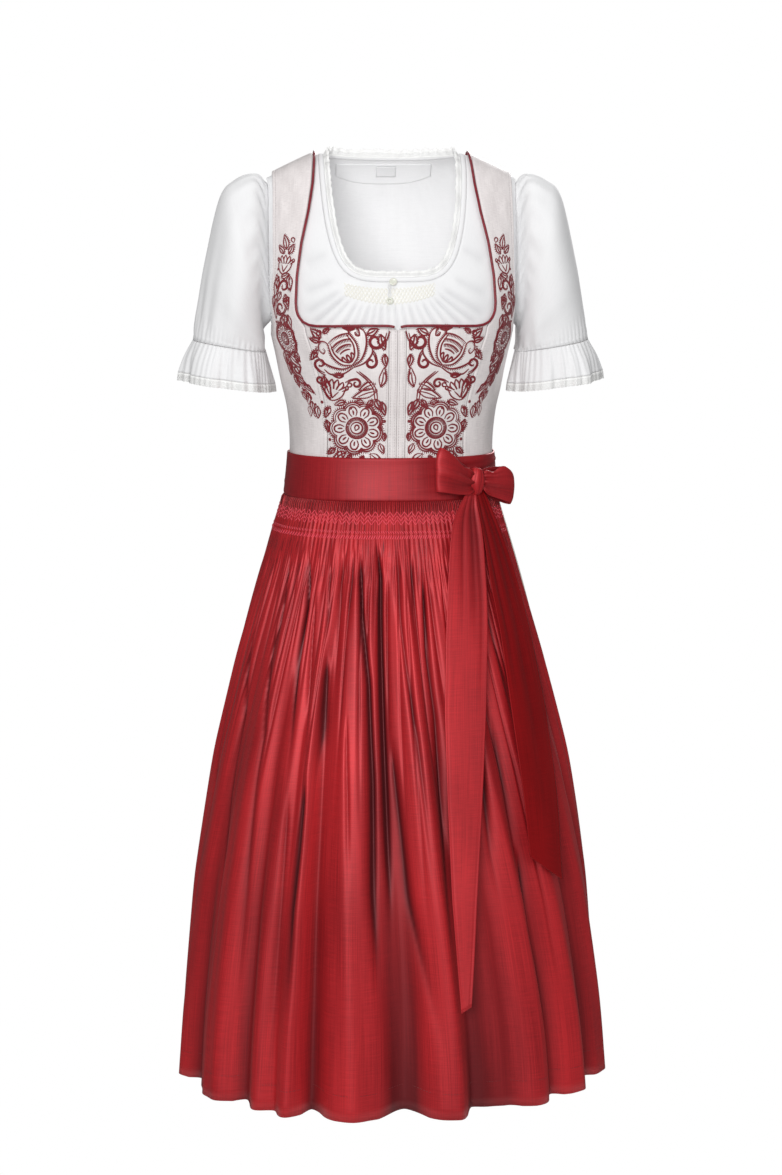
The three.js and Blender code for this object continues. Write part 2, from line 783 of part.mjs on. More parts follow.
// Points of a sleeve ring, from the top round by the front
function sleeveRing(ring, columns, wave = 0) {
  const points = [];
  for (let column = 0; column < columns; column += 1) {
    const turn = (2 * Math.PI * column) / columns;
    const unit = unitSuperellipse(turn, sleevePower);
    const swell = 1 + (wave / ring.halfDepth) * Math.cos(frillWaves * turn);
    const middleX = (ring.topX + ring.bottomX) / 2;
    const middleZ = (ring.topZ + ring.bottomZ) / 2;
    const x = middleX + ((ring.topX - ring.bottomX) / 2) * unit.along * swell;
    const z = middleZ + ((ring.topZ - ring.bottomZ) / 2) * unit.along * swell;
    points.push(new THREE.Vector3(x, -ring.halfDepth * unit.across * swell, z));
  }
  return points;
}

// First ring of a sleeve: the blouse's own armhole, a little smaller
function armholeRing() {
  const points = [];
  const sink = (blouseOuter + blouseInner) / 2;
  for (let column = 0; column < sleeveColumns; column += 1) {
    const atFront = column <= armholeSteps;
    const step = atFront ? column : sleeveColumns - column;
    const place = blouseBoundary(step / blouseHalfSteps);
    const point = torsoPoint(atFront ? place.angle : 180 - place.angle, place.station, sink);
    const centre = new THREE.Vector3(point.x, 0, armholeCentreZ);
    const inward = centre.sub(point).normalize();
    points.push(point.addScaledVector(inward, armholeInset));
  }
  return points;
}

// Grid moved in along its own normals by the wall's thickness
function thickened(grid, thickness) {
  const rows = grid.length;
  const columns = grid[0].length;
  return grid.map((ring, row) =>
    ring.map((point, column) => {
      const before = ring[(column - 1 + columns) % columns];
      const round = ring[(column + 1) % columns].clone().sub(before);
      const above = grid[Math.max(row - 1, 0)][column];
      const down = grid[Math.min(row + 1, rows - 1)][column].clone().sub(above);
      const normal = down.cross(round).normalize();
      return point.clone().addScaledVector(normal, thickness);
    }),
  );
}

function mirrored(grid) {
  return grid.map((ring) => ring.map((point) => new THREE.Vector3(-point.x, point.y, point.z)));
}

function addSleeves() {
  const sleeve = [armholeRing()].concat(sleeveRings.map((ring) => sleeveRing(ring, sleeveColumns)));
  const frillColumns = frillWaves * frillStepsPerWave;
  const frill = frillRings.map((ring) => sleeveRing(ring, frillColumns, ring.wave));
  const lastRing = frillRings[frillRings.length - 1];
  const lowered = (drop) => ({
    ...lastRing,
    topZ: lastRing.topZ - drop,
    bottomZ: lastRing.bottomZ - drop,
    topX: lastRing.topX + drop * cuffFlare,
    bottomX: lastRing.bottomX - drop * cuffFlare,
    halfDepth: lastRing.halfDepth + drop * cuffFlare,
  });
  const lace = [lowered(seamGap), lowered(seamGap + cuffLaceWidth)].map((ring) =>
    sleeveRing(ring, frillColumns, ring.wave),
  );
  const parts = [
    { name: 'sleeve', grid: sleeve, thickness: sleeveWall, material: materials.cotton },
    { name: 'sleeve_frill', grid: frill, thickness: laceWall, material: materials.cotton },
    { name: 'cuff_lace', grid: lace, thickness: laceWall, material: materials.lace },
  ];
  for (const part of parts) {
    const inner = thickened(part.grid, part.thickness);
    add(`${part.name}_left`, wall(part.grid, inner, true), part.material);
    add(`${part.name}_right`, wall(mirrored(part.grid), mirrored(inner), true), part.material);
  }
}

// Angle at a height of the line that meets the hem at a given angle: the folds fan out downward
function fannedAngle(hemAngle, z) {
  const share = smoothShare(hemZ, bandBottomZ, z);
  const right = mix(apronEdges.right.hem, apronEdges.right.top, share);
  const left = mix(apronEdges.left.hem, apronEdges.left.top, share);
  const stretches = [
    { hem: -180, here: -180 },
    { hem: apronEdges.right.hem, here: right },
    { hem: apronEdges.left.hem, here: left },
    { hem: 180, here: 180 },
  ];
  return lookUp(stretches, 'hem', 'here', hemAngle);
}

function foldReach(hemAngle) {
  let index = 0;
  while (index < skirtFolds.length - 2 && hemAngle > skirtFolds[index + 1].angle) {
    index += 1;
  }
  const from = skirtFolds[index];
  const to = skirtFolds[index + 1];
  const share = (hemAngle - from.angle) / (to.angle - from.angle);
  return mix(from.reach, to.reach, 0.5 - 0.5 * Math.cos(Math.PI * share));
}

function foldGrowth(z) {
  return Math.max(0, (z - foldTopZ) / (hemZ - foldTopZ)) ** foldGrowthPower;
}

function skirtPoint(roundAngle, z, inset, hemRise = 0) {
  const hemAngle = roundAngle > 180 ? roundAngle - 360 : roundAngle;
  const angle = radians(fannedAngle(hemAngle, z));
  const section = {};
  for (const column of ['halfWidth', 'front', 'back', 'power']) {
    section[column] = lookUp(skirtSections, 'z', column, z);
  }
  const reach = foldReach(hemAngle);
  const unit = unitSuperellipse(angle, section.power);
  const out = reach * foldGrowth(z) - inset;
  const x = (section.halfWidth + out) * unit.across;
  const y = -((unit.along > 0 ? section.front : section.back) + out) * unit.along;
  const share = (skirtRows[0] - z) / (skirtRows[0] - hemZ);
  const lift = share * share * (hemRise + troughLift * Math.max(0, -reach));
  return new THREE.Vector3(x, y, z + lift);
}

// Hem angles of the columns between two rows of the fold table, going on past 180 if need be
function hemAngles(from, to, steps) {
  const again = skirtFolds.slice(1).map((fold) => ({ ...fold, angle: fold.angle + 360 }));
  const round = skirtFolds.concat(again);
  const angles = [];
  for (let index = 0; index < round.length - 1; index += 1) {
    const start = round[index].angle;
    const end = round[index + 1].angle;
    if (start >= from && end <= to) {
      angles.push(...spread(start, end, steps).slice(0, -1));
    }
  }
  return angles.concat([to]);
}

function skirtPanel(angles) {
  const trim = radiansToDegrees(seamGap / 2 / skirtSections[0].halfWidth);
  angles[0] += trim;
  angles[angles.length - 1] -= trim;
  const layer = (extra) =>
    skirtRows.map((z) => {
      const grown = smoothShare(bandBottomZ, apronNest.fullZ, z);
      const nest = mix(apronNest.top, apronNest.hem, grown);
      return angles.map((angle) => skirtPoint(angle, z, nest + apronWall + extra, skirtHemRise));
    });
  return wall(layer(0), layer(skirtWall));
}

function addSkirt() {
  add('skirt_front', skirtPanel(hemAngles(-90, 90, foldColumns.hidden)), materials.skirt);
  add('skirt_back', skirtPanel(hemAngles(90, 270, foldColumns.shown)), materials.skirt);
}

function addApron() {
  const angles = hemAngles(apronEdges.right.hem, apronEdges.left.hem, foldColumns.shown);
  const rows = skirtRows.slice(1);
  const layer = (inset) => rows.map((z) => angles.map((angle) => skirtPoint(angle, z, inset)));
  add('apron_panel', wall(layer(0), layer(apronWall)), materials.taffeta);
  const band = (from, to) =>
    [bandTopZ, bandMiddleZ, bandBottomZ + seamGap].map((z) =>
      spread(from, to, bandSteps).map((angle) => ({ angle, station: stationAt(z) })),
    );
  const right = apronEdges.right.top;
  const left = apronEdges.left.top;
  const outer = bandClearance + bandWall;
  add('apron_waistband', torsoWall(band(right, left), outer, bandClearance), materials.taffeta);
  const tie = band(left + 2 * tieGap, right + 360 - 2 * tieGap);
  add('apron_tie_back', torsoWall(tie, outer, bandClearance), materials.taffeta);
}

// Outward frame at a place on the band, for the bow that sits on it
function bowFrame() {
  const station = stationAt(knot.z);
  const angle = angleForX(knot.x, station);
  const normal = torsoNormal(angle, station);
  const across = new THREE.Vector3(0, 0, 1).cross(normal).negate().normalize();
  const base = torsoPoint(angle, station, bandClearance + bandWall);
  return { base, normal, across: across.x > 0 ? across : across.negate() };
}

function addBow() {
  const frame = bowFrame();
  const centre = frame.base.clone().addScaledVector(frame.normal, knot.halfDepth);
  const lump = new THREE.SphereGeometry(1, knotSteps.round, knotSteps.up);
  const position = lump.getAttribute('position');
  const squared = (value) => Math.sign(value) * Math.abs(value) ** knot.power;
  const positions = [];
  for (let index = 0; index < position.count; index += 1) {
    const point = centre
      .clone()
      .addScaledVector(frame.across, squared(position.getX(index)) * knot.halfWidth)
      .addScaledVector(frame.normal, position.getZ(index) * knot.halfDepth);
    point.z += squared(position.getY(index)) * knot.halfHeight;
    positions.push(point);
  }
  add('bow_knot', mergedSphere(positions, lump), materials.taffeta);
  add('bow_loop_right', loopGeometry(frame, rightLoop), materials.taffeta);
  add('bow_loop_left', loopGeometry(frame, leftLoop), materials.taffeta);
}

// Rebuilds a sphere's faces on moved points, with the points at its seam and poles shared
function mergedSphere(points, sphere) {
  const keys = new Map();
  const positions = [];
  const renumbered = points.map((point) => {
    const key = point.toArray().map((value) => value.toFixed(sharedDigits)).join(' ');
    if (!keys.has(key)) {
      keys.set(key, keys.size);
      positions.push(point.x, point.y, point.z);
    }
    return keys.get(key);
  });
  const index = sphere.getIndex();
  const faces = [];
  for (let face = 0; face < index.count; face += 3) {
    const corners = [0, 1, 2].map((corner) => renumbered[index.getX(face + corner)]);
    if (new Set(corners).size === 3) {
      faces.push(...corners);
    }
  }
  return solidGeometry(positions, faces);
}

// One loop of the bow: the ribbon leaves the knot, turns and comes back behind itself
function loopGeometry(frame, shape) {
  const start = knot.halfWidth - loopStart;
  const middle = (bowLayers.front + bowLayers.back) / 2;
  const half = (bowLayers.front - bowLayers.back) / 2;
  const path = spread(0, Math.PI, loopTurns).map((turn) => {
    const spreadOut = half * mix(bowLayers.rootShare, 1, Math.sin(turn)) * Math.cos(turn);
    return {
      share: Math.sin(turn) ** loopPower,
      depth: middle + spreadOut + (bowLayers.bulge * Math.sin(2 * turn)) / 2,
    };
  });
  const rise = shape.length * Math.tan(radians(shape.tilt));
  const grid = [-1, 0, 1].map((across) =>
    path.map(({ share, depth }) => {
      const height = mix(shape.rootHeight, shape.endHeight, share ** loopPower);
      const point = frame.base
        .clone()
        .addScaledVector(frame.across, shape.side * (start + share * shape.length))
        .addScaledVector(frame.normal, depth);
      point.z += (across * height) / 2 + rise * share;
      return point;
    }),
  );
  const inner = grid.map((row) =>
    row.map((point, column) => {
      const before = row[Math.max(column - 1, 0)];
      const after = row[Math.min(column + 1, row.length - 1)];
      const along = after.clone().sub(before);
      along.z = 0;
      const side = new THREE.Vector3(0, 0, 1).cross(along).normalize();
      const inward = shape.side > 0 ? side.negate() : side;
      return point.clone().addScaledVector(inward, bowLoopWall);
    }),
  );
  return wall(grid, inner);
}

// Tail of the bow: hangs over the apron, just clear of the folds' crests
function tailGeometry(rows, endSlant) {
  const grid = (extra) =>
    rows.map((row, index) =>
      spread(0, 1, tailSteps).map((share) => {
        const x = mix(row.left, row.right, share);
        const slant = index === rows.length - 1 ? -endSlant * share : 0;
        const z = row.z + slant;
        const crest = tallestCrest * foldGrowth(z);
        const half = lookUp(skirtSections, 'z', 'halfWidth', z) + crest;
        const front = lookUp(skirtSections, 'z', 'front', z) + crest;
        const power = lookUp(skirtSections, 'z', 'power', z);
        const lift = mix(row.leftLift, row.rightLift, share) + extra;
        const across = Math.min(x / half, tailEdgeLimit);
        const along = (1 - across ** power) ** (1 / power);
        const surface = new THREE.Vector3(x, -front * along, z);
        const outX = across ** (power - 1) / half;
        const outY = -(along ** (power - 1)) / front;
        return surface.addScaledVector(new THREE.Vector3(outX, outY, 0).normalize(), lift);
      }),
    );
  return wall(grid(tailWall), grid(0));
}

function addTails() {
  add('bow_tail_long', tailGeometry(longTail, endSlants.long), materials.taffeta);
  add('bow_tail_short', tailGeometry(shortTail, endSlants.short), materials.taffeta);
}

// Two small mother-of-pearl buttons at the neck slit, each lying on the blouse
function addButtons() {
  for (const { name, x, z, radius, lift } of buttons) {
    const station = stationAt(z);
    const angle = angleForX(x, station);
    const normal = torsoNormal(angle, station);
    const geometry = new THREE.CylinderGeometry(radius, radius, buttonThickness, buttonSides);
    const up = new THREE.Vector3(0, 1, 0);
    geometry.applyQuaternion(new THREE.Quaternion().setFromUnitVectors(up, normal));
    const centre = torsoPoint(angle, station, blouseOuter + lift + buttonThickness / 2);
    geometry.translate(centre.x, centre.y, centre.z);
    add(name, geometry, materials.button);
  }
}

addBlouseBody();
addBackNeck();
addSleeves();
addButtons();
addBodice();
addPiping();
addSkirt();
addApron();
addBow();
addTails();

export default garment;
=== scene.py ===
import math

import bmesh
import bpy
import numpy as np
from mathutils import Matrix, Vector


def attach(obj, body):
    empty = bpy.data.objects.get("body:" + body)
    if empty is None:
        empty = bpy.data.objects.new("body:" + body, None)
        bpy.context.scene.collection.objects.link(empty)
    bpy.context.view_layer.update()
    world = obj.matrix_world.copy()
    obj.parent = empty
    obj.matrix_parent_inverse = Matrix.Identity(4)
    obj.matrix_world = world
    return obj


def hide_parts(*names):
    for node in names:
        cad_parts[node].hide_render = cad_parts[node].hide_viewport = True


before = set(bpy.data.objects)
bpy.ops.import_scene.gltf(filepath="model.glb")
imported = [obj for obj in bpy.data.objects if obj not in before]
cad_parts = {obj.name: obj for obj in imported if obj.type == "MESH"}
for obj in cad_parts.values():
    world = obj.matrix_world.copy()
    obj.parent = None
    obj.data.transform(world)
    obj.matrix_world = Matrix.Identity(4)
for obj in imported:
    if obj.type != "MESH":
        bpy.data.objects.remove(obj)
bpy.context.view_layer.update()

# A dirndl as worn: blouse, hooked bodice with its skirt, and a tied apron. Shapes are worked out in
# millimetres in the part's own frame and become metres where a mesh is made.
# A millimetre in the scene's metres
MM = 0.001

# Camera and light

# Degrees and metres, and the lens in millimetres
VIEW_AZIMUTH, VIEW_ELEVATION, VIEW_DISTANCE, VIEW_HEIGHT = -3.5, 8, 3.1, -0.5094
LENS, SENSOR, FARTHEST = 80.49, 36, 60
GARMENT_MIDDLE, NECK_INSIDE = (0, 0, -0.55), (0, 0.1, -0.09)
# Place, aim, width and watts of each light
LIGHTS = {
    "key": ((-0.8, -3.65, 0.5), GARMENT_MIDDLE, 1.9, 92),
    "fill": ((2.0, -2.5, 0.2), GARMENT_MIDDLE, 1.6, 9),
    "back": ((0.9, 3.2, 0.8), GARMENT_MIDDLE, 1.8, 85),
    "top": ((0, -0.4, 2.6), GARMENT_MIDDLE, 1.4, 16),
    "inner": ((0, -0.07, -0.16), NECK_INSIDE, 0.06, 0.075),
}
SOFT_LIGHT, DIM_REFLECTION, PALE_BACKDROP = 0.35, 0.09, 1.0


def set_camera():
    azimuth, elevation = math.radians(VIEW_AZIMUTH), math.radians(VIEW_ELEVATION)
    level = math.cos(elevation)
    back = Vector((math.sin(azimuth) * level, -math.cos(azimuth) * level, math.sin(elevation)))
    data = bpy.data.cameras.new("camera")
    data.lens, data.sensor_width, data.clip_end = LENS, SENSOR, FARTHEST
    camera = bpy.data.objects.new("camera", data)
    camera.location = Vector((0, 0, VIEW_HEIGHT)) + VIEW_DISTANCE * back
    camera.rotation_euler = (-back).to_track_quat("-Z", "Y").to_euler()
    bpy.context.scene.collection.objects.link(camera)
    bpy.context.scene.camera = camera


def add_light(name, place, aim, size, watts):
    data = bpy.data.lights.new(name, "AREA")
    data.shape, data.size, data.energy = "DISK", size, watts
    light = bpy.data.objects.new(name, data)
    light.location = place
    light.rotation_euler = (Vector(aim) - Vector(place)).to_track_quat("-Z", "Y").to_euler()
    bpy.context.scene.collection.objects.link(light)


def set_studio():
    """Soft light all round that is dimmer in reflections, a white backdrop, and the lights."""
    world = bpy.data.worlds.new("studio")
    bpy.context.scene.world = world
    world.use_nodes = True
    tree = world.node_tree
    tree.nodes.clear()
    output = tree.nodes.new("ShaderNodeOutputWorld")
    choice = tree.nodes.new("ShaderNodeMixShader")
    soft = tree.nodes.new("ShaderNodeBackground")
    dim = tree.nodes.new("ShaderNodeBackground")
    backdrop = tree.nodes.new("ShaderNodeBackground")
    around = tree.nodes.new("ShaderNodeMixShader")
    for background, strength in ((soft, SOFT_LIGHT), (dim, DIM_REFLECTION), (backdrop, PALE_BACKDROP)):
        background.inputs["Color"].default_value = (1, 1, 1, 1)
        background.inputs["Strength"].default_value = strength
    path = tree.nodes.new("ShaderNodeLightPath")
    tree.links.new(path.outputs["Is Glossy Ray"], around.inputs[0])
    tree.links.new(soft.outputs[0], around.inputs[1])
    tree.links.new(dim.outputs[0], around.inputs[2])
    tree.links.new(path.outputs["Is Camera Ray"], choice.inputs[0])
    tree.links.new(around.outputs[0], choice.inputs[1])
    tree.links.new(backdrop.outputs[0], choice.inputs[2])
    tree.links.new(choice.outputs[0], output.inputs[0])
    bpy.context.scene.view_settings.view_transform = "Standard"
    for name, (place, aim, size, watts) in LIGHTS.items():
        add_light(name, place, aim, size, watts)


set_camera()
set_studio()

# Shader nodes


class Wire:
    """One output of a node, so that shader maths reads as an expression."""

    def __init__(self, finish, socket):
        self.finish, self.socket = finish, socket

    def out(self, name):
        return Wire(self.finish, self.socket.node.outputs[name])

    def maths(self, operation, first, second=0.0):
        return self.finish.node("ShaderNodeMath", {"operation": operation}, {0: first, 1: second})

    def __add__(self, other):
        return self.maths("ADD", self, other)

    def __radd__(self, other):
        return self.maths("ADD", other, self)

    def __sub__(self, other):
        return self.maths("SUBTRACT", self, other)

    def __rsub__(self, other):
        return self.maths("SUBTRACT", other, self)

    def __mul__(self, other):
        return self.maths("MULTIPLY", self, other)

    def __rmul__(self, other):
        return self.maths("MULTIPLY", other, self)

    def __truediv__(self, other):
        return self.maths("DIVIDE", self, other)

    def sine(self):
        return self.maths("SINE", self)

    def wave(self, pitch, phase=0.0):
        """A sine of the wire's value, in metres, with a crest at every pitch in millimetres."""
        return (self * (2 * math.pi / (pitch * MM)) + phase).sine()

    def between(self, low, high):
        """0 up to low, 1 from high, and a smooth rise between them."""
        return self.finish.node(
            "ShaderNodeMapRange",
            {"interpolation_type": "SMOOTHSTEP"},
            {"Value": self, "From Min": low, "From Max": high},
        )


class Finish:
    """A material under construction: its shader, and a way to add nodes."""

    def __init__(self, name, **uniform):
        self.material = bpy.data.materials.new(name)
        self.material.use_nodes = True
        self.tree = self.material.node_tree
        self.shader = self.tree.nodes["Principled BSDF"]
        for socket, value in uniform.items():
            self.shader.inputs[socket.replace("_", " ")].default_value = value

    def node(self, kind, settings=None, sockets=None, out=0):
        made = self.tree.nodes.new(kind)
        for setting, value in (settings or {}).items():
            setattr(made, setting, value)
        for socket, value in (sockets or {}).items():
            if isinstance(value, Wire):
                self.tree.links.new(value.socket, made.inputs[socket])
            else:
                made.inputs[socket].default_value = value
        return Wire(self, made.outputs[out])

    def cloth_place(self):
        """The piece's own UV map, in metres along and down the flat cloth."""
        parts = self.node("ShaderNodeSeparateXYZ", {}, {0: self.node("ShaderNodeUVMap", {"uv_map": "flat"})})
        return parts.out("X"), parts.out("Y")

    def crease_and_shade(self):
        """Painted shade of a place on its piece, from 0 to 1, read from the piece's attribute: darker in its
        folds and troughs.
        """
        return self.node("ShaderNodeAttribute", {"attribute_name": "crease_and_shade"}, out="Fac")

    def noise(self, across, down, detail=2.0, roughness=0.5):
        """Noise on the flat cloth whose grain is so many millimetres across and down."""
        grain = (1 / (across * MM), 1 / (down * MM), 1)
        place = self.node(
            "ShaderNodeVectorMath",
            {"operation": "MULTIPLY"},
            {0: self.node("ShaderNodeUVMap", {"uv_map": "flat"}), 1: grain},
        )
        sockets = {"Vector": place, "Scale": 1.0, "Detail": detail, "Roughness": roughness}
        return self.node("ShaderNodeTexNoise", {}, sockets).out("Fac")

    def blend(self, share, first, second):
        """Colour between two colours, each a tuple or a wire."""
        return self.node("ShaderNodeMix", {"data_type": "RGBA"}, {0: share, 6: first, 7: second}, out=2)

    def bump(self, height, depth, strength=1.0, under=None):
        sockets = {"Height": height, "Distance": depth * MM, "Strength": strength}
        if under is not None:
            sockets["Normal"] = under
        return self.node("ShaderNodeBump", {}, sockets)

    def feed(self, **sockets):
        for socket, wire in sockets.items():
            self.tree.links.new(wire.socket, self.shader.inputs[socket.replace("_", " ")])
        return self.material


def threads(finish, pitch, slub=1.0):
    """Height of a plain weave: fine threads both ways, each uneven along its length."""
    lengthways = finish.noise(pitch, pitch * 22, 1.5)
    crossways = finish.noise(pitch * 22, pitch, 1.5)
    coarse = finish.noise(pitch * 60, pitch * 3.2, 1.0)
    return lengthways * 0.5 + crossways * 0.5 + coarse * slub


TAFFETA_DARK, TAFFETA_LIGHT = (0.28, 0.005, 0.009, 1), (0.64, 0.020, 0.026, 1)
# Near-black red painted into folds, rib grooves and gather lines as painted shade
FOLD_SHADE = (0.055, 0.001, 0.003, 1)


def taffeta(name, ribs=0.0, ribs_end=0.05, dark=TAFFETA_DARK, light=TAFFETA_LIGHT, gloss=0.95):
    """Shot taffeta between two reds, darkened by painted shade in its folds. Where it is smocked,
    ribs is how many stand side by side on each metre of flat cloth, with painted shade in the grooves
    between them and painted dark lines of shade below them, and they fade out at ribs_end metres down it."""
    tint = (1.0, 0.52, 0.55, 1)
    finish = Finish(name, Metallic=0.24, Specular_Tint=tint, Specular_IOR_Level=gloss, Sheen_Weight=0.02)
    across, down = finish.cloth_place()
    streaks = finish.noise(0.9, 90, 2.5, 0.6)
    slubs = finish.noise(26, 0.7, 2.0)
    patches = finish.noise(70, 160, 1.0)
    tone = streaks * 0.5 + slubs * 0.3 + patches * 0.4
    colour = finish.blend(tone.between(0.32, 0.86), dark, light)
    height = streaks * 0.5 + slubs * 0.35 + down.wave(0.8) * 0.06
    normal = finish.bump(height, 0.11, 0.55)
    rough = 0.43 + streaks * 0.12
    if ribs:
        rib = (across * (2 * math.pi * ribs) + finish.noise(40, 9, 1.0) * 3.0).sine()
        gone = down.between(ribs_end * 0.55, ribs_end)
        # Painted shade in the grooves between the ribs
        groove = rib.between(0.35, -0.95) * (1 - gone)
        colour = finish.blend(groove * 0.7, colour, FOLD_SHADE)
        normal = finish.bump(rib * (1 - gone), 0.7, 0.8, normal)
        # Painted dark lines of shade in the gathers below the ribs
        strokes = finish.noise(1.5, 42, 1.0).between(0.57, 0.66)
        zone = down.between(ribs_end * 0.8, ribs_end * 1.2) * (1 - down.between(0.10, 0.24))
        colour = finish.blend(strokes * zone * 0.8, colour, FOLD_SHADE)
    # Painted shade where the piece's attribute marks folds and troughs
    colour = finish.blend(finish.crease_and_shade() * 0.92, colour, FOLD_SHADE)
    return finish.feed(Base_Color=colour, Roughness=rough, Normal=normal)


def bodice_weave():
    """Silvery off-white weave with slubs both ways."""
    finish = Finish("bodice_weave", Specular_IOR_Level=0.9, Sheen_Weight=0.05)
    slubs = finish.noise(14, 0.55, 3.0, 0.65)
    upright = finish.noise(0.6, 26, 3.0, 0.65)
    patches = finish.noise(30, 46, 2.0)
    tone = slubs * 0.45 + upright * 0.45 + patches * 0.35
    colour = finish.blend(tone.between(0.42, 0.84), (0.66, 0.61, 0.605, 1), (0.93, 0.875, 0.868, 1))
    normal = finish.bump(slubs * 0.5 + upright * 0.5, 0.16, 0.6)
    return finish.feed(Base_Color=colour, Roughness=0.44 + slubs * 0.2, Normal=normal)


def cotton(name, light, dark, pitch, depth, rough=0.78):
    """Plain matt cotton between two colours, greyed by painted shade in its creases."""
    finish = Finish(name, Sheen_Weight=0.08, Sheen_Roughness=0.6)
    weave = threads(finish, pitch, 0.4)
    tone = weave * 0.6 + finish.noise(55, 80, 1.0) * 0.4
    colour = finish.blend(tone.between(0.3, 0.8), dark, light)
    # Painted shade: grey blended in where the piece's attribute marks folds and gathers
    colour = finish.blend(finish.crease_and_shade() * 0.36, colour, (0.40, 0.40, 0.42, 1))
    return finish.feed(
        Base_Color=colour,
        Roughness=rough + weave * 0.08,
        Normal=finish.bump(weave, depth, 0.5),
    )


def lace_cotton(name, width, scallop):
    """Cotton lace so many millimetres wide, with rows of small holes in each scallop."""
    finish = Finish(name)
    across, down = finish.cloth_place()
    share = down / (width * MM)
    cell = across.wave(scallop * 0.5) * down.wave(width * 0.42, 0.8)
    fine = across.wave(scallop * 0.25, 0.5) * down.wave(width * 0.2, 1.9)
    open_part = share.between(0.24, 0.34) * (1 - share.between(0.86, 0.94))
    hole = (cell.between(0.42, 0.62) + fine.between(0.72, 0.86) * 0.7) * open_part
    rim = cell.between(0.1, 0.5) * open_part
    yarn = threads(finish, 0.45)
    colour = finish.blend(rim, (0.90, 0.90, 0.89, 1), (0.60, 0.60, 0.60, 1))
    return finish.feed(
        Base_Color=colour,
        Roughness=0.82 + yarn * 0.06,
        Alpha=1 - finish.node("ShaderNodeClamp", {}, {"Value": hole}),
        Normal=finish.bump(yarn * 0.5 + rim, 0.3, 0.6),
    )


def satin_thread(name, light, dark, pitch):
    """Lustrous thread laid across a narrow line, a stitch at every pitch."""
    finish = Finish(name, Specular_IOR_Level=0.6, Sheen_Weight=0.1)
    across, down = finish.cloth_place()
    stitch = (down + across * 0.6).wave(pitch)
    uneven = finish.noise(2.5, 5, 2.0)
    colour = finish.blend((stitch * 0.22 + uneven).between(0.25, 0.8), dark, light)
    normal = finish.bump(stitch * 0.5 + uneven * 0.6, 0.16, 0.7)
    return finish.feed(Base_Color=colour, Roughness=0.32 + uneven * 0.2, Normal=normal)


def shell():
    """Mother of pearl: soft bands of cream, green and rose under a gloss."""
    finish = Finish("button_shell", Coat_Roughness=0.08, Specular_IOR_Level=0.6)
    place = finish.node("ShaderNodeTexCoord").out("Object")
    turned = finish.node("ShaderNodeMapping", {}, {"Vector": place, "Rotation": (0.5, 0.3, 0.7)})
    settings = {"Vector": turned, "Scale": 260.0, "Distortion": 5.0, "Detail": 2.0}
    bands = finish.node("ShaderNodeTexWave", {}, settings).out("Fac")
    cloud = finish.node("ShaderNodeTexNoise", {}, {"Vector": turned, "Scale": 330.0}).out("Fac")
    colour = finish.blend(bands, (0.66, 0.69, 0.57, 1), (0.80, 0.80, 0.73, 1))
    colour = finish.blend(cloud.between(0.5, 0.72) * 0.5, colour, (0.83, 0.74, 0.72, 1))
    return finish.feed(Base_Color=colour, Roughness=0.18 + bands * 0.12, Coat_Weight=0.6 + cloud * 0.3)


def floor_paper():
    finish = Finish("floor_paper")
    place = finish.node("ShaderNodeTexCoord").out("Object")
    grain = finish.node("ShaderNodeTexNoise", {}, {"Vector": place, "Scale": 40.0, "Detail": 4.0}).out("Fac")
    colour = finish.blend(grain, (0.80, 0.80, 0.795, 1), (0.84, 0.84, 0.835, 1))
    return finish.feed(Base_Color=colour, Roughness=0.75 + grain * 0.1)


FINISHES = {
    "bodice_weave": bodice_weave(),
    "blouse_cotton": cotton("blouse_cotton", (0.86, 0.86, 0.868, 1), (0.79, 0.79, 0.80, 1), 0.45, 0.10),
    "smock_cotton": cotton("smock_cotton", (0.86, 0.85, 0.80, 1), (0.76, 0.745, 0.69, 1), 0.6, 0.16),
    "neck_lace": lace_cotton("neck_lace", 8, 4.6),
    "cuff_lace": lace_cotton("cuff_lace", 9, 4.6),
    "piping": satin_thread("piping_satin", (0.32, 0.006, 0.022, 1), (0.13, 0.003, 0.009, 1), 1.6),
    "embroidery": satin_thread("embroidery_thread", (0.30, 0.003, 0.015, 1), (0.15, 0.002, 0.007, 1), 0.5),
    "smocking": satin_thread("smocking_thread", (0.95, 0.075, 0.12, 1), (0.70, 0.035, 0.06, 1), 0.6),
    "seam_thread": satin_thread("seam_thread", (0.62, 0.58, 0.58, 1), (0.46, 0.43, 0.43, 1), 0.5),
    "hem_thread": satin_thread("hem_thread", (0.28, 0.012, 0.016, 1), (0.15, 0.006, 0.009, 1), 0.6),
    "white_thread": satin_thread("white_thread", (0.88, 0.88, 0.88, 1), (0.74, 0.74, 0.74, 1), 0.5),
    "taffeta": taffeta("taffeta"),
    "pressed_taffeta": taffeta(
        "pressed_taffeta", dark=(0.20, 0.004, 0.008, 1), light=(0.48, 0.017, 0.023, 1), gloss=0.8
    ),
    # Darker, less glossy copy of the taffeta for the short tail: painted shade for a tail that turns away
    # from the key light
    "shaded_tail_taffeta": taffeta(
        "shaded_tail_taffeta", dark=(0.19, 0.002, 0.003, 1), light=(0.36, 0.004, 0.006, 1), gloss=0.3
    ),
    "smocked_taffeta": taffeta("smocked_taffeta", ribs=150.0, ribs_end=0.054),
    "skirt_weave": cotton("skirt_weave", (0.86, 0.815, 0.745, 1), (0.75, 0.705, 0.64, 1), 0.55, 0.14, 0.66),
    "label_satin": cotton("label_satin", (0.80, 0.80, 0.81, 1), (0.73, 0.73, 0.74, 1), 0.3, 0.05, 0.42),
    "shell": shell(),
    "floor": floor_paper(),
}

# Curves and surfaces


def smooth_share(start, end, value):
    share = np.clip((value - start) / (end - start), 0, 1)
    return share * share * (3 - 2 * share)


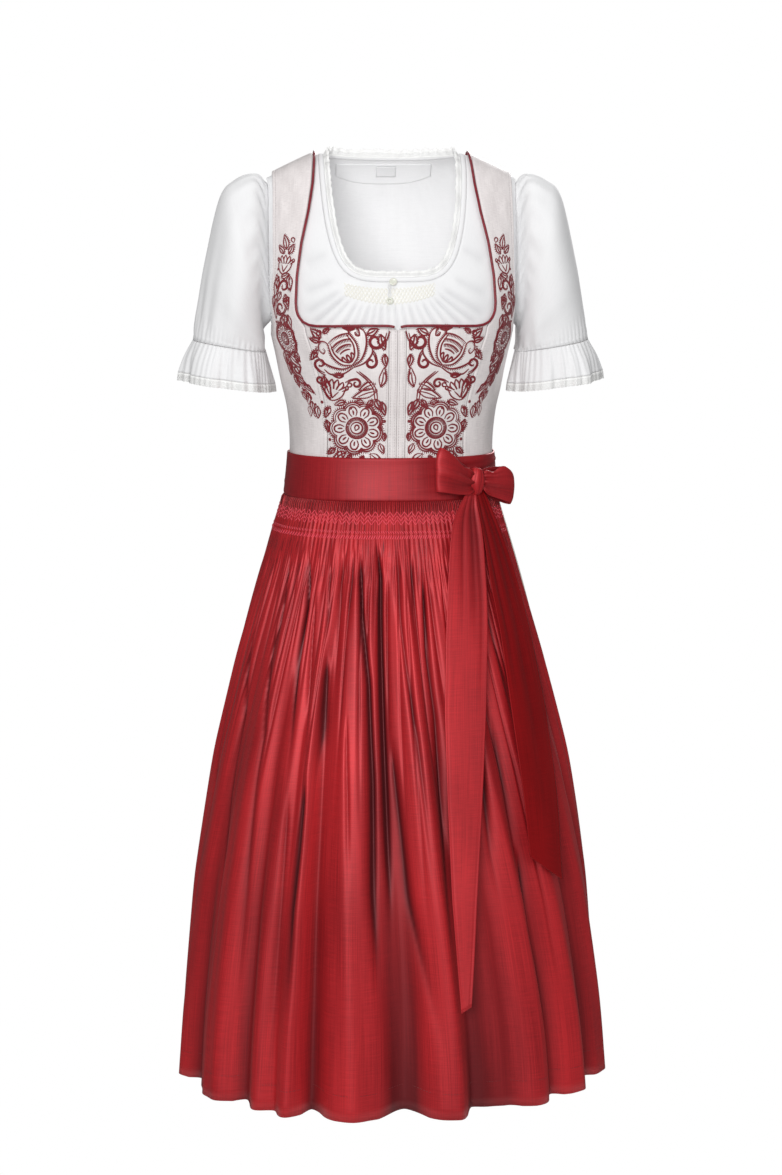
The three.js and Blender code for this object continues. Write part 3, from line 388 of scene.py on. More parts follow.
def rounded(table, value, step=1.5, span=9):
    """Second column of a table at values of its first, with the corners eased over a span."""
    rows = np.array(sorted(map(tuple, table)), float)
    fine = np.arange(rows[0, 0], rows[-1, 0] + step, step)
    straight = np.interp(fine, rows[:, 0], rows[:, 1])
    reach = max(1, int(span / step))
    before, after = straight[reach:0:-1], straight[-2 : -reach - 2 : -1]
    padded = np.concatenate([2 * straight[0] - before, straight, 2 * straight[-1] - after])
    kernel = np.hanning(2 * reach + 3)[1:-1]
    eased = np.convolve(padded, kernel / kernel.sum(), "valid")
    return np.interp(value, fine, eased)


def through(rows, place):
    """Smooth curve through rows of numbers, at places counted in rows, for arrays of places."""
    return spline(extended(np.asarray(rows, float)), place)


def extended(rows):
    """Rows with one more at each end, in line with the last two there."""
    return np.concatenate([[2 * rows[0] - rows[1]], rows, [2 * rows[-1] - rows[-2]]])


def spline(padded, place):
    place = np.clip(place, 0, len(padded) - 3 - 1e-9)
    index = place.astype(int)
    share = (place - index).reshape(place.shape + (1,) * (padded.ndim - 1))
    return cubic(share, *(padded[index + step] for step in range(4)))


def cubic(share, before, start, end, after):
    """Smooth way from start to end, bent by the rows before and after them."""
    bend = 2 * before - 5 * start + 4 * end - after
    twist = -before + 3 * start - 3 * end + after
    return 0.5 * (2 * start + (end - before) * share + bend * share**2 + twist * share**3)


def unit_section(degrees, power):
    """Across and along of a superellipse of unit half width."""
    angle = np.radians(degrees)
    sine, cosine = np.sin(angle), np.cos(angle)
    size = (np.abs(sine) ** power + np.abs(cosine) ** power) ** (1 / power)
    return sine / size, cosine / size


# Torso: z, half width, depth to the front and to the back, and the power of each section
TORSO = np.array(
    [
        (0, 150, 0, 0, 2.8), (-5, 150, 20, 20, 2.8), (-18, 150, 40, 38, 2.8), (-45, 150, 62, 56, 2.8),
        (-85, 150, 83, 72, 2.8), (-130, 149, 101, 86, 2.75), (-170, 147, 115, 95, 2.7),
        (-205, 141, 124, 100, 2.55), (-235, 134.5, 123, 100, 2.45), (-268, 127.8, 116, 97, 2.4),
        (-301, 121, 107, 91, 2.35), (-346, 118.6, 99, 86, 2.3), (-397, 123.6, 104, 94, 2.25),
    ]
)
MIRRORED = TORSO[1] * (1, 1, -1, -1, 1)
TORSO_PADDED = np.concatenate([[MIRRORED], TORSO, [2 * TORSO[-1] - TORSO[-2]]])
SHOULDER_START, SHOULDER_SLOPE, SHOULDER_EASE, SHOULDER_FADE = 88, 0.49, 8, 5
STATION_STEP, ANGLE_STEP, TOP_STATION = 0.004, 0.05, 0.01
# Faces of the blouse, measured out from the torso's surface
BLOUSE_OUTER, BLOUSE_INNER = -4.0, -5.2


def torso_section(station):
    """Section of the torso at a station, which counts the rows of the table."""
    return spline(TORSO_PADDED, np.asarray(station, float))


STATIONS = np.linspace(0, len(TORSO) - 1, 2401)
STATION_HEIGHTS = torso_section(STATIONS)[:, 0]


def station_at(z):
    return np.interp(-np.asarray(z, float), -STATION_HEIGHTS, STATIONS)


def torso_surface(degrees, station):
    """Points at angles from the front round by the wearer's left, with the slope of the shoulders."""
    z, half, front, back, power = np.moveaxis(torso_section(station), -1, 0)
    across, along = unit_section(degrees, power)
    x = half * across
    y = -np.where(along > 0, front, back) * along
    beyond = np.abs(x) - SHOULDER_START
    eased = (beyond + np.sqrt(beyond**2 + SHOULDER_EASE**2)) / 2
    fade = 1 - smooth_share(0, SHOULDER_FADE, station)
    return np.stack([x, y, z - SHOULDER_SLOPE * eased * fade], -1)


def torso_normal(degrees, station):
    above = torso_surface(degrees, np.maximum(station - STATION_STEP, 0))
    down = torso_surface(degrees, station + STATION_STEP) - above
    round_it = torso_surface(degrees + ANGLE_STEP, station) - torso_surface(degrees - ANGLE_STEP, station)
    normal = np.cross(down, round_it)
    return normal / np.linalg.norm(normal, axis=-1, keepdims=True)


def torso(degrees, station, offset=0.0):
    degrees, station = np.broadcast_arrays(np.asarray(degrees, float), np.asarray(station, float))
    lift = np.broadcast_to(offset, degrees.shape)[..., None]
    return torso_surface(degrees, station) + torso_normal(degrees, station) * lift


def angle_for_x(x, station, at_back=False):
    section = torso_section(station)
    share = np.minimum(np.abs(x) / section[..., 1], 0.9999)
    along = (1 - share ** section[..., 4]) ** (1 / section[..., 4])
    degrees = np.degrees(np.arctan2(share, along))
    return np.sign(x) * (180 - degrees if at_back else degrees)


# Meshes


WELD = 2e-6


def new_piece(name, mesh, finish):
    """Object of a finished mesh, at the origin."""
    mesh.materials.append(finish)
    piece = bpy.data.objects.new(name, mesh)
    bpy.context.scene.collection.objects.link(piece)
    return piece


def grid_sheet(name, grid, place, finish, closed=False, core=(0, 0), offset=-1.0, outward=1):
    """A sheet of cloth: a grid moved to its place, with its flat size in its UV map.

    grid is its columns, its rows and its wall in millimetres. place takes arrays of shares across
    and down and gives points in millimetres, or points and the painted shade of each, from 0 to 1,
    which darkens the finish's colour. closed says that the sheet meets itself. The cloth's face looks
    away from the upright line at core, or towards it where outward is -1."""
    columns, rows, wall = grid
    flat_cloth = bmesh.new()
    bmesh.ops.create_grid(flat_cloth, x_segments=columns, y_segments=rows, size=0.5)
    mesh = bpy.data.meshes.new(name)
    flat_cloth.to_mesh(mesh)
    flat_cloth.free()
    flat = np.empty(len(mesh.vertices) * 3)
    mesh.vertices.foreach_get("co", flat)
    across, down = flat.reshape(-1, 3)[:, 0] + 0.5, 0.5 - flat.reshape(-1, 3)[:, 1]
    points = place(across, down)
    if isinstance(points, tuple):
        points, shade = points
        # Painted shade, kept as an attribute that the finishes darken their colour by
        mesh.attributes.new("crease_and_shade", "FLOAT", "POINT").data.foreach_set("value", np.clip(shade, 0, 1))
    order = np.lexsort((np.round(across, 6), np.round(down, 6)))
    ordered = points[order].reshape(rows + 1, columns + 1, 3)
    width = np.linalg.norm(np.diff(ordered, axis=1), axis=-1).sum(1).max() * MM
    length = np.linalg.norm(np.diff(ordered, axis=0), axis=-1).sum(0).max() * MM
    mesh.vertices.foreach_set("co", (points * MM).ravel())
    corners = np.empty(len(mesh.loops), int)
    mesh.loops.foreach_get("vertex_index", corners)
    layer = mesh.uv_layers.new(name="flat")
    layer.data.foreach_set("uv", np.stack([across * width, down * length], -1)[corners].ravel())
    mesh.update()
    shell_mesh = bmesh.new()
    shell_mesh.from_mesh(mesh)
    if closed:
        bmesh.ops.remove_doubles(shell_mesh, verts=shell_mesh.verts, dist=WELD)
    facing = 0.0
    for face in shell_mesh.faces:
        middle = face.calc_center_median()
        away = Vector((middle.x - core[0] * MM, middle.y - core[1] * MM, 0))
        facing += face.normal.dot(away) * face.calc_area()
    if facing * outward < 0:
        bmesh.ops.reverse_faces(shell_mesh, faces=shell_mesh.faces)
    area = sum(face.calc_area() for face in shell_mesh.faces)
    shell_mesh.to_mesh(mesh)
    shell_mesh.free()
    mesh.shade_smooth()
    piece = new_piece(name, mesh, finish)
    solid = piece.modifiers.new("wall", "SOLIDIFY")
    solid.thickness, solid.offset = wall * MM, offset
    piece["cut"] = (width, length, area)
    return piece


# Smallest side of a sheet, in metres
NARROWEST = 0.0102


def settle(piece, nodes=(), held=None):
    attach(piece, "root")
    if nodes:
        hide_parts(*nodes)
    if held:
        width, length, area = piece["cut"]
        width, length = max(width, NARROWEST), max(length, NARROWEST)
        del piece["cut"]
        min(area, width * length)


# Rise of a thread to half its width, and the flat cloth from its middle to its edge in millimetres
THREAD_RISE, THREAD_SIDE = 0.62, 0.6


def stroke_mesh(name, strokes, finish):
    """Raised threads. Each stroke has points on the cloth, normals there and widths, in millimetres."""
    threads_mesh = bmesh.new()
    layer = threads_mesh.loops.layers.uv.new("flat")
    for points, normals, widths in strokes:
        along = np.gradient(points, axis=0)
        side = np.cross(normals, along)
        side /= np.maximum(np.linalg.norm(side, axis=-1, keepdims=True), 1e-9)
        half = (np.asarray(widths) / 2)[:, None]
        run = np.concatenate([[0], np.cumsum(np.linalg.norm(np.diff(points, axis=0), axis=-1))])
        rails = (points - side * half, points + normals * half * THREAD_RISE, points + side * half)
        rings = [[threads_mesh.verts.new(rail[k] * MM) for rail in rails] for k in range(len(points))]
        for k in range(len(points) - 1):
            for edge in (0, 1):
                places = ((edge, k), (edge, k + 1), (edge + 1, k + 1), (edge + 1, k))
                face = threads_mesh.faces.new([rings[step][rail] for rail, step in places])
                for loop, (rail, step) in zip(face.loops, places):
                    loop[layer].uv = (rail * THREAD_SIDE * MM, run[step] * MM)
    threads_mesh.normal_update()
    mesh = bpy.data.meshes.new(name)
    threads_mesh.to_mesh(mesh)
    threads_mesh.free()
    mesh.shade_smooth()
    return new_piece(name, mesh, finish)


def frames_along(degrees, station, offset, closed):
    """Points of a path on the torso, the surface's normals and the ways into the opening."""
    points = torso(degrees, station, offset)
    if closed:
        along = np.roll(points, -1, 0) - np.roll(points, 1, 0)
    else:
        along = np.gradient(points, axis=0)
    along /= np.linalg.norm(along, axis=-1, keepdims=True)
    normals = torso_normal(degrees, station)
    inward = np.cross(normals, along)
    return points, normals, inward / np.linalg.norm(inward, axis=-1, keepdims=True)


def swept(path, share, inward, height):
    """Points at shares of a path, moved inward and off the surface."""
    points, normals, inwards = path
    at = share * (len(points) - 1)
    low = np.minimum(at.astype(int), len(points) - 2)
    part = (at - low)[:, None]
    tracks = (points, normals, inwards)
    point, normal, into = (track[low] * (1 - part) + track[low + 1] * part for track in tracks)
    return point + into * inward[:, None] + normal * height[:, None]


# Blouse

NECK_HALF_WIDTH, NECK_DEPTH, BACK_NECK_DEPTH = 85.5, 147.5, 8
NECK_POWER, BACK_NECK_POWER = 4.2, 2.6
ARMHOLE = {"angle": 22.5, "depth": 199, "power": 3.0}
BLOUSE_HEM = -262
ARMHOLE_SHARE, SIDE_SHARE = 8 / 14, 9 / 14
# DEEPEST_GATHER is the gather depth that takes the full painted shade
DEEPEST_GATHER = 2.6


def neck_place(turn, at_back):
    """Angle and station of the neckline at a turn from 0 at the left shoulder to 180 at the right."""
    across, along = unit_section(turn, BACK_NECK_POWER if at_back else NECK_POWER)
    station = np.maximum(TOP_STATION, station_at(-BACK_NECK_DEPTH if at_back else -NECK_DEPTH) * across)
    x = -NECK_HALF_WIDTH * along
    degrees = angle_for_x(x, station, at_back)
    if at_back:
        degrees = np.where(np.abs(x) < 1e-6, 180.0, degrees) % 360
    return degrees, station


def blouse_edge(share):
    """Angle and station along the armhole, side seam and hem of half a blouse panel."""
    down = np.clip(share / ARMHOLE_SHARE, 0, 1)
    across, along = unit_section(down * 90, ARMHOLE["power"])
    degrees = 90 - ARMHOLE["angle"] * along
    station = np.maximum(TOP_STATION, station_at(-ARMHOLE["depth"] * across))
    hem = station_at(BLOUSE_HEM)
    side = np.clip((share - ARMHOLE_SHARE) / (SIDE_SHARE - ARMHOLE_SHARE), 0, 1)
    inward = np.clip((share - SIDE_SHARE) / (1 - SIDE_SHARE), 0, 1)
    station = np.where(share > ARMHOLE_SHARE, station + (hem - station) * side, station)
    return np.where(share > SIDE_SHARE, 90 * (1 - inward), degrees), station


# Gathers of the blouse front: x and z at the top of each, x and z at its end, depth and half width
BLOUSE_GATHERS = [
    (-60, -166, -96, -196, 2.6, 2.6), (-54, -170, -80, -199, 2.0, 1.8), (-46, -173, -63, -201, 2.4, 1.9),
    (-39, -174, -50, -201, 1.8, 1.6), (-31, -175, -40, -201, 2.4, 1.9), (-24, -175, -29, -201, 2.0, 1.5),
    (-17, -175, -19, -201, 2.2, 1.8), (-10, -172, -9, -201, 1.6, 1.4), (-2, -175, 1, -201, 2.2, 1.8),
    (6, -175, 11, -201, 1.9, 1.6), (14, -175, 22, -201, 2.3, 1.8), (22, -174, 34, -201, 1.8, 1.6),
    (30, -173, 46, -201, 2.4, 1.9), (38, -171, 60, -200, 2.0, 1.7), (44, -168, 76, -199, 2.5, 2.3),
    (49, -163, 92, -196, 2.3, 2.6), (-66, -160, -104, -184, 2.0, 4.0), (56, -158, 102, -186, 2.0, 4.2),
    (-72, -148, -104, -160, 1.5, 5.0), (68, -146, 104, -163, 1.5, 5.0), (-79, -118, -103, -128, 1.1, 5.5),
    (78, -112, 103, -126, 1.1, 5.5),
]


def creases(first, second, tracks):
    """Depth at places of creases, each a straight track between two places that fades at its ends."""
    depth = np.zeros_like(first)
    for x0, z0, x1, z1, deep, half in tracks:
        run = math.hypot(x1 - x0, z1 - z0)
        along = ((first - x0) * (x1 - x0) + (second - z0) * (z1 - z0)) / run**2
        aside = ((first - x0) * (z1 - z0) - (second - z0) * (x1 - x0)) / run
        fade = smooth_share(-0.12, 0.14, along) * (1 - smooth_share(0.82, 1.08, along))
        widen = half * (0.7 + 0.6 * np.clip(along, 0, 1))
        depth += deep * fade * np.exp(-(np.abs(aside / widen) ** 1.5))
    return depth


def blouse_panel(at_back):
    """Panel from the neckline out to the armhole, side seam and hem."""

    def place(across, down):
        turn = across * 180
        neck_angle, neck_station = neck_place(turn, at_back)
        edge_angle, edge_station = blouse_edge(np.minimum(turn, 180 - turn) / 90)
        side = np.where(turn < 90, -1, 1)
        edge_angle = side * (180 - edge_angle if at_back else edge_angle)
        if at_back:
            edge_angle = edge_angle % 360
        share = down ** (1.5 if at_back else 1.15)
        angle = neck_angle + (edge_angle - neck_angle) * share
        station = neck_station + (edge_station - neck_station) * share
        points = torso(angle, station, BLOUSE_OUTER)
        if at_back:
            depth = 0.5 * np.abs(np.sin(turn * 0.9)) * smooth_share(0.02, 0.1, down)
            return torso(angle, station, BLOUSE_OUTER - depth)
        # Painted shade in the gathers, by their depth
        depth = creases(points[:, 0], points[:, 2], BLOUSE_GATHERS)
        return torso(angle, station, BLOUSE_OUTER - depth), depth / DEEPEST_GATHER

    return place


def neck_path():
    """Path once round the blouse's neckline."""
    turn = np.linspace(0, 180, 361)
    front, back = neck_place(turn[:-1], False), neck_place(180 - turn[:-1], True)
    degrees, station = (np.concatenate(pair) for pair in zip(front, back))
    path = frames_along(degrees, station, BLOUSE_INNER, True)
    return tuple(np.concatenate([rows, rows[:1]]) for rows in path)


BINDING_PUCKERS = 150
NECK_LACE_RUN, NECK_RUFFLE, NECK_SCALLOP = 640, 17, 4.6


def neck_binding(path):
    """Puckered roll of cloth round the neckline."""

    def place(across, down):
        turn = down * 2 * math.pi
        inward = 3.2 - 2.9 * np.sign(np.cos(turn)) * np.abs(np.cos(turn)) ** 0.7
        height = 0.85 + 1.15 * np.sign(np.sin(turn)) * np.abs(np.sin(turn)) ** 0.7
        pucker = 0.16 * np.sin(across * 2 * math.pi * BINDING_PUCKERS) * np.abs(np.sin(turn))
        return swept(path, across, inward, height + pucker)

    return place


def neck_lace(path):
    """Ruffled lace inside the binding, flat in front and standing behind."""

    def place(across, down):
        points = swept(path, across, np.zeros_like(across), np.zeros_like(across))
        behind = smooth_share(-20, 25, points[:, 1])
        stand = np.radians(8 + 54 * behind)
        run = across * NECK_LACE_RUN
        ruffle = np.sin(run * 2 * math.pi / NECK_RUFFLE + 1.3 * np.sin(run / 23))
        ruffle *= 1 + 0.3 * np.sin(run / 31)
        scallop = 6.0 + 3.0 * behind + 1.1 * np.abs(np.sin(run * math.pi / NECK_SCALLOP))
        reach = down * (scallop + 0.8 * np.sin(run / 11) * behind)
        inward = 6.2 + reach * np.cos(stand) - 0.5 * ruffle * down * np.sin(stand)
        height = 0.5 + reach * np.sin(stand) + ruffle * 1.5 * down * np.cos(stand * 0.6)
        return swept(path, across, inward, height)

    return place


def back_patch(centre, half, top, bottom, offset, rounding):
    """Patch inside the back neck, its lower edge bowed down by the rounding."""

    def place(across, down):
        x = centre + (2 * across - 1) * half
        fall = top + (bottom - top) * down + rounding * (1 - np.abs(2 * across - 1) ** 3) * -down
        station = station_at(fall)
        return torso(angle_for_x(x - 0.001, station, True) % 360, station, offset)

    return place


SMOCK_START, SMOCK_WIDTH, SMOCK_TOP, SMOCK_DEPTH = -64, 112, -152.5, 21.5
SMOCK_ROWS, SMOCK_CELL = 6, 4.2


def smock_patch(across, down):
    """Honeycomb smocking below the slit: rows of small cells, ending in points at the gathers."""
    x = SMOCK_START + SMOCK_WIDTH * across
    arch = 5.0 * (np.abs(2 * across - 1) ** 2.2)
    top = SMOCK_TOP + arch * 1.3
    z = top - down * (SMOCK_DEPTH - 6 * np.abs(2 * across - 1) ** 2)
    row = down * SMOCK_ROWS
    cell = np.cos(x * 2 * math.pi / SMOCK_CELL + math.pi * np.floor(row))
    cell *= np.abs(np.sin(row * math.pi)) ** 0.5
    station = station_at(z)
    edge = np.minimum(np.minimum(down, 1 - down) * 8, np.minimum(across, 1 - across) * 16)
    lift = -1.1 + 1.5 * np.clip(edge, 0, 1) + 0.75 * cell * np.clip(edge, 0, 1)
    return torso(angle_for_x(x, station), station, BLOUSE_OUTER + lift)


# Rings of a sleeve and its frill: x and z of the outer end and of the inner end, and half depth
SLEEVE_RINGS = [
    (156, -27, 148, -205, 50), (178, -33, 147.5, -213, 61), (197, -54, 147.5, -218, 66),
    (214, -124, 147, -224, 65), (222, -168, 146.5, -227, 60), (230, -217, 145.5, -231, 54),
]
FRILL_RINGS = [(230.2, -217.5, 145.5, -231.5, 54), (239, -236, 142, -251, 59), (244, -254, 139.5, -268, 62)]
SLEEVE_POWER = 2.2
ARMHOLE_INSET, ARMHOLE_AIM = 4.6, -112
SLEEVE_CORE = 185


def ring_points(ring, turn):
    """Points at turns, from 0 to 1, of a ring."""
    across, along = unit_section(turn * 360, SLEEVE_POWER)
    x = (ring[..., 0] + ring[..., 2]) / 2 + (ring[..., 0] - ring[..., 2]) / 2 * along
    z = (ring[..., 1] + ring[..., 3]) / 2 + (ring[..., 1] - ring[..., 3]) / 2 * along
    return np.stack([x, -ring[..., 4] * across, z], -1)


def armhole_points(turn):
    """Ring of a sleeve's top, a little inside the blouse's armhole."""
    front = turn <= 0.5
    degrees, station = blouse_edge(2 * ARMHOLE_SHARE * np.where(front, turn, 1 - turn))
    sink = (BLOUSE_OUTER + BLOUSE_INNER) / 2
    points = torso(np.where(front, degrees, 180 - degrees), station, sink)
    inward = np.stack([points[:, 0], 0 * turn, 0 * turn + ARMHOLE_AIM], -1) - points
    inward /= np.linalg.norm(inward, axis=-1, keepdims=True)
    return points + inward * ARMHOLE_INSET


def sleeve(side):
    """Puffed sleeve: gathered at its head and above its frill, with soft folds between."""

    def place(across, down):
        rings = [armhole_points(across)]
        rings += [ring_points(np.array(ring, float), across) for ring in SLEEVE_RINGS]
        padded = extended(np.stack(rings))
        at = down * len(SLEEVE_RINGS)
        index = np.minimum(at.astype(int), len(SLEEVE_RINGS) - 1)
        share = (at - index)[:, None]
        columns = np.arange(len(across))
        points = cubic(share, *(padded[index + step, columns] for step in range(4)))
        turn = across * 2 * math.pi
        cap = smooth_share(0.02, 0.12, down) * (1 - smooth_share(0.2, 0.5, down))
        head = 0.5 + 0.5 * np.cos(turn)
        swell = cap * head * 1.4 * np.sin(turn * 21 + 2 * np.sin(turn * 3))
        drape = 1.3 * np.sin(turn * 5 + 2.4 * down + side) * smooth_share(0.15, 0.5, down)
        drape += 0.9 * np.sin(turn * 11 + 3.0 * np.sin(turn * 2 + side)) * smooth_share(0.45, 0.9, down)
        gather = 0.9 * np.sin(turn * 46 + 2 * np.sin(turn * 5)) * smooth_share(0.86, 0.985, down)
        pinch = -0.8 * smooth_share(0.955, 0.985, down) * (1 - smooth_share(0.985, 1.0, down))
        loose = smooth_share(0, 0.1, down) * (1 - smooth_share(0.99, 1.0, down) * 0.8)
        drape *= 1 - smooth_share(0.9, 1, down)
        return puffed(points, side, (swell + drape + gather) * loose + pinch)

    return place


def puffed(points, side, lift):
    """Moves a sleeve's points out from its middle, level, and mirrors them on the right."""
    middle = np.stack([np.full(len(points), SLEEVE_CORE), np.zeros(len(points)), points[:, 2]], -1)
    outward = points - middle
    outward /= np.maximum(np.linalg.norm(outward, axis=-1, keepdims=True), 1e-9)
    return (points + outward * np.asarray(lift)[:, None]) * (side, 1, 1)


def frill(side):
    """Flared frill below a sleeve, in broad waves with fine gathers over them."""

    def place(across, down):
        ring = through(FRILL_RINGS, down * (len(FRILL_RINGS) - 1))
        turn = across * 2 * math.pi
        big = 3.2 * down**1.3 * np.cos(6 * turn)
        middle = 1.5 * down**0.8 * np.sin(turn * 17 + 2.0 * np.sin(turn * 4 + side))
        fine = 0.5 * (1 - 0.2 * down) * np.sin(turn * 46 + 2 * np.sin(turn * 5))
        return puffed(ring_points(ring, across), side, big + middle + fine)

    return place


CUFF_SCALLOPS = 84


def cuff_lace(side):
    """Scalloped lace that hangs from a frill's edge."""
    last = np.array(FRILL_RINGS[-1], float)

    def place(across, down):
        drop = 0.3 + down * (8.6 + 0.9 * np.abs(np.sin(across * math.pi * CUFF_SCALLOPS)))
        spread = drop * 0.12
        ring = np.stack(
            [last[0] + spread, last[1] - drop, last[2] - spread, last[3] - drop, last[4] + spread], -1
        )
        turn = across * 2 * math.pi
        wave = 3.2 * np.cos(6 * turn) + 1.5 * np.sin(turn * 17 + 2.0 * np.sin(turn * 4 + side))
        fine = 0.4 * np.sin(turn * 46 + 2 * np.sin(turn * 5))
        return puffed(ring_points(ring, across), side, wave + fine)

    return place


# Bodice

# Edges of the straps and princess seams, from z to x, and of the necklines, from x to z
INNER_EDGE = [
    (0, 90.5), (-37, 94), (-69, 99.5), (-104, 107.5), (-142, 113), (-172, 114.5), (-182, 113.6),
    (-189, 111), (-194.5, 106.5), (-199, 103), (-206, 102.5), (-229, 95), (-259, 87), (-287, 81),
    (-321, 78), (-360, 78),
]
NECKLINE = [
    (0, -202), (3, -200.5), (10, -199), (40, -198.8), (72, -199.6), (90, -199.8), (99, -198.6),
    (107, -194.5),
]
BACK_INNER_EDGE = [
    (0, 90.5), (-20, 90), (-45, 87), (-66, 79), (-77, 68), (-130, 64), (-220, 58), (-300, 51), (-360, 50),
]
BACK_NECKLINE = [(0, -82), (40, -81), (60, -78.5), (68, -77)]
PLACKET, SEAM_GAP, WAIST = 9.7, 0.3, -352
PANEL_TOP, PLACKET_LENGTH, BACK_LENGTH, BACK_NECK_CORNER = -197, 155, 270, 67.8
EDGE_DROP, EDGE_ROUNDING, SEAM_STITCHES = 0.75, 1.1, 3.4
ARMHOLE_STITCHES, DEGREE_WIDTH = 6.5, 2.35
BODICE_ARMHOLE = {"angle": 32, "depth": 209, "power": 3.4}


def inner_edge(z):
    return rounded(INNER_EDGE, z, span=4)


def back_inner_edge(z):
    return rounded(BACK_INNER_EDGE, z, span=6)


def neckline(x):
    return rounded(NECKLINE, np.abs(x), span=2.5)


def back_neckline(x):
    return rounded(BACK_NECKLINE, np.abs(x), span=3)


def rolled(distance):
    """Drop of a panel near its folded edge."""
    return EDGE_DROP * np.exp(-((distance / EDGE_ROUNDING) ** 2))


def sewn(across, down, width, length):
    """Drop of a panel at its sewn sides and top, and the line of stitches beside its sides."""
    edge = np.minimum(across, 1 - across) * width
    stitches = 0.32 * np.exp(-(((edge - SEAM_STITCHES) / 0.8) ** 2))
    return -rolled(edge) - stitches - rolled(down * length)


def front_panel(left, right, side, stitch_lines=()):
    """Panel between two upright seams, its top along the neckline."""

    def place(across, down):
        guide = np.full_like(down, PANEL_TOP)
        top = neckline(left(guide) + (right(guide) - left(guide)) * across)
        z = top + (WAIST - top) * down
        x = left(z) + (right(z) - left(z)) * across
        station = station_at(z)
        width = np.mean(right(z) - left(z))
        lift = sewn(across, down, width, PLACKET_LENGTH)
        for at in stitch_lines:
            lift -= 0.35 * np.exp(-(((across - at) * width / 0.6) ** 2))
        lift += 0.35 * np.sin(z / 13 + x / 9) * np.sin(x / 17)
        return torso(angle_for_x(x, station), station, lift) * (side, 1, 1)

    return place


def armhole_angle(z):
    """Angle of the bodice's armhole, and of its side line below."""
    depth = np.clip(-z / BODICE_ARMHOLE["depth"], 0, 1)
    power = BODICE_ARMHOLE["power"]
    return 90 - BODICE_ARMHOLE["angle"] * (1 - depth**power) ** (1 / power)


def side_panel(side, at_back):
    """Panel with its strap, from the shoulder to the waist, between princess seam and side line."""

    def place(across, down):
        z = WAIST * down
        station = np.maximum(station_at(z), TOP_STATION)
        gap = np.degrees(SEAM_GAP / 2 / torso_section(station)[:, 1])
        edge = back_inner_edge(z) if at_back else inner_edge(z)
        start = angle_for_x(edge, station, at_back) + (-gap if at_back else gap)
        outer = armhole_angle(z)
        end = 180 - outer + gap if at_back else outer - gap
        angle = start + (end - start) * across
        width = np.abs(end - start) * DEGREE_WIDTH
        lift = -rolled(across * width) - rolled((1 - across) * width)
        armhole = smooth_share(-215, -200, z)
        lift -= 0.45 * armhole * np.exp(-((((1 - across) * width - ARMHOLE_STITCHES) / 0.7) ** 2))
        lift -= 0.35 * (1 - armhole) * np.exp(-(((across * width - SEAM_STITCHES) / 0.7) ** 2))
        lift += 0.45 * np.sin(z / 19 + angle / 11) * np.sin(angle / 7) * smooth_share(-230, -260, z)
        return torso(angle, station, lift) * (side, 1, 1)

    return place


def back_panel(across, down):
    """Centre panel of the back, with the groove of its centre seam."""
    z = back_neckline((2 * across - 1) * BACK_NECK_CORNER) * (1 - down) + WAIST * down
    half = back_inner_edge(z) - SEAM_GAP / 2
    x = half * (2 * across - 1)
    station = station_at(z)
    lift = sewn(across, down, 2 * np.mean(half), BACK_LENGTH) - 0.6 * np.exp(-((x / 0.9) ** 2))
    return torso(angle_for_x(np.where(np.abs(x) < 1e-4, 1e-4, x), station, True) % 360, station, lift)


def piping_path(at_back):
    """Path down the strap's inner edge and in along the neckline, and up again behind."""
    if at_back:
        z = np.linspace(-1, -75, 40)
        x_low = np.linspace(66, 0.01, 30)
        x = np.concatenate([back_inner_edge(z), x_low])
        heights = np.concatenate([z, back_neckline(x_low)])
        station = np.maximum(station_at(heights), TOP_STATION)
        degrees = angle_for_x(x, station, True)
        degrees = np.concatenate([degrees, 360 - degrees[::-1]])
        station = np.concatenate([station, station[::-1]])
        return frames_along(degrees, station, 0.0, False)
    z = np.linspace(0, -194.5, 90)
    x_low = np.linspace(106, 4, 60)
    x = np.concatenate([inner_edge(z), x_low])
    heights = np.concatenate([z, neckline(x_low)])
    station = np.maximum(station_at(heights), TOP_STATION)
    return frames_along(angle_for_x(x, station), station, 0.0, False)


def piping(path, side, flip):
    """Cord cover along a path, on the side of it that flip says."""

    def place(across, down):
        turn = down * 2 * math.pi
        inward = (2.0 + 1.5 * np.cos(turn)) * flip
        return swept(path, across, inward, 0.1 + 1.55 * np.sin(turn)) * (side, 1, 1)

    return place


# Embroidery: lines in millimetres, first across and then up, in a motif's own frame


def bent(points, count=18):
    """Smooth line through a few places."""
    rows = np.array(points, float)
    return through(rows, np.linspace(0, len(rows) - 1, count))


def moved(line, centre, turn=0.0, size=1.0):
    angle = math.radians(turn)
    cosine, sine = math.cos(angle), math.sin(angle)
    x, y = line[:, 0] * size, line[:, 1] * size
    return np.stack([centre[0] + x * cosine - y * sine, centre[1] + x * sine + y * cosine], -1)


def spikes(line, length, pitch, side=1, lean=0.3):
    """Short stitches standing out from one side of a line."""
    run = np.concatenate([[0], np.cumsum(np.linalg.norm(np.diff(line, axis=0), axis=1))])
    along = np.gradient(line, axis=0)
    along /= np.maximum(np.linalg.norm(along, axis=1, keepdims=True), 1e-9)
    made = []
    for at in np.arange(pitch / 2, run[-1], pitch):
        base = np.array([np.interp(at, run, line[:, k]) for k in (0, 1)])
        way = np.array([np.interp(at, run, along[:, k]) for k in (0, 1)])
        out = np.array([way[1], -way[0]]) * side + way * lean
        made.append(np.stack([base, base + out * length * 0.55, base + out * length]))
    return made


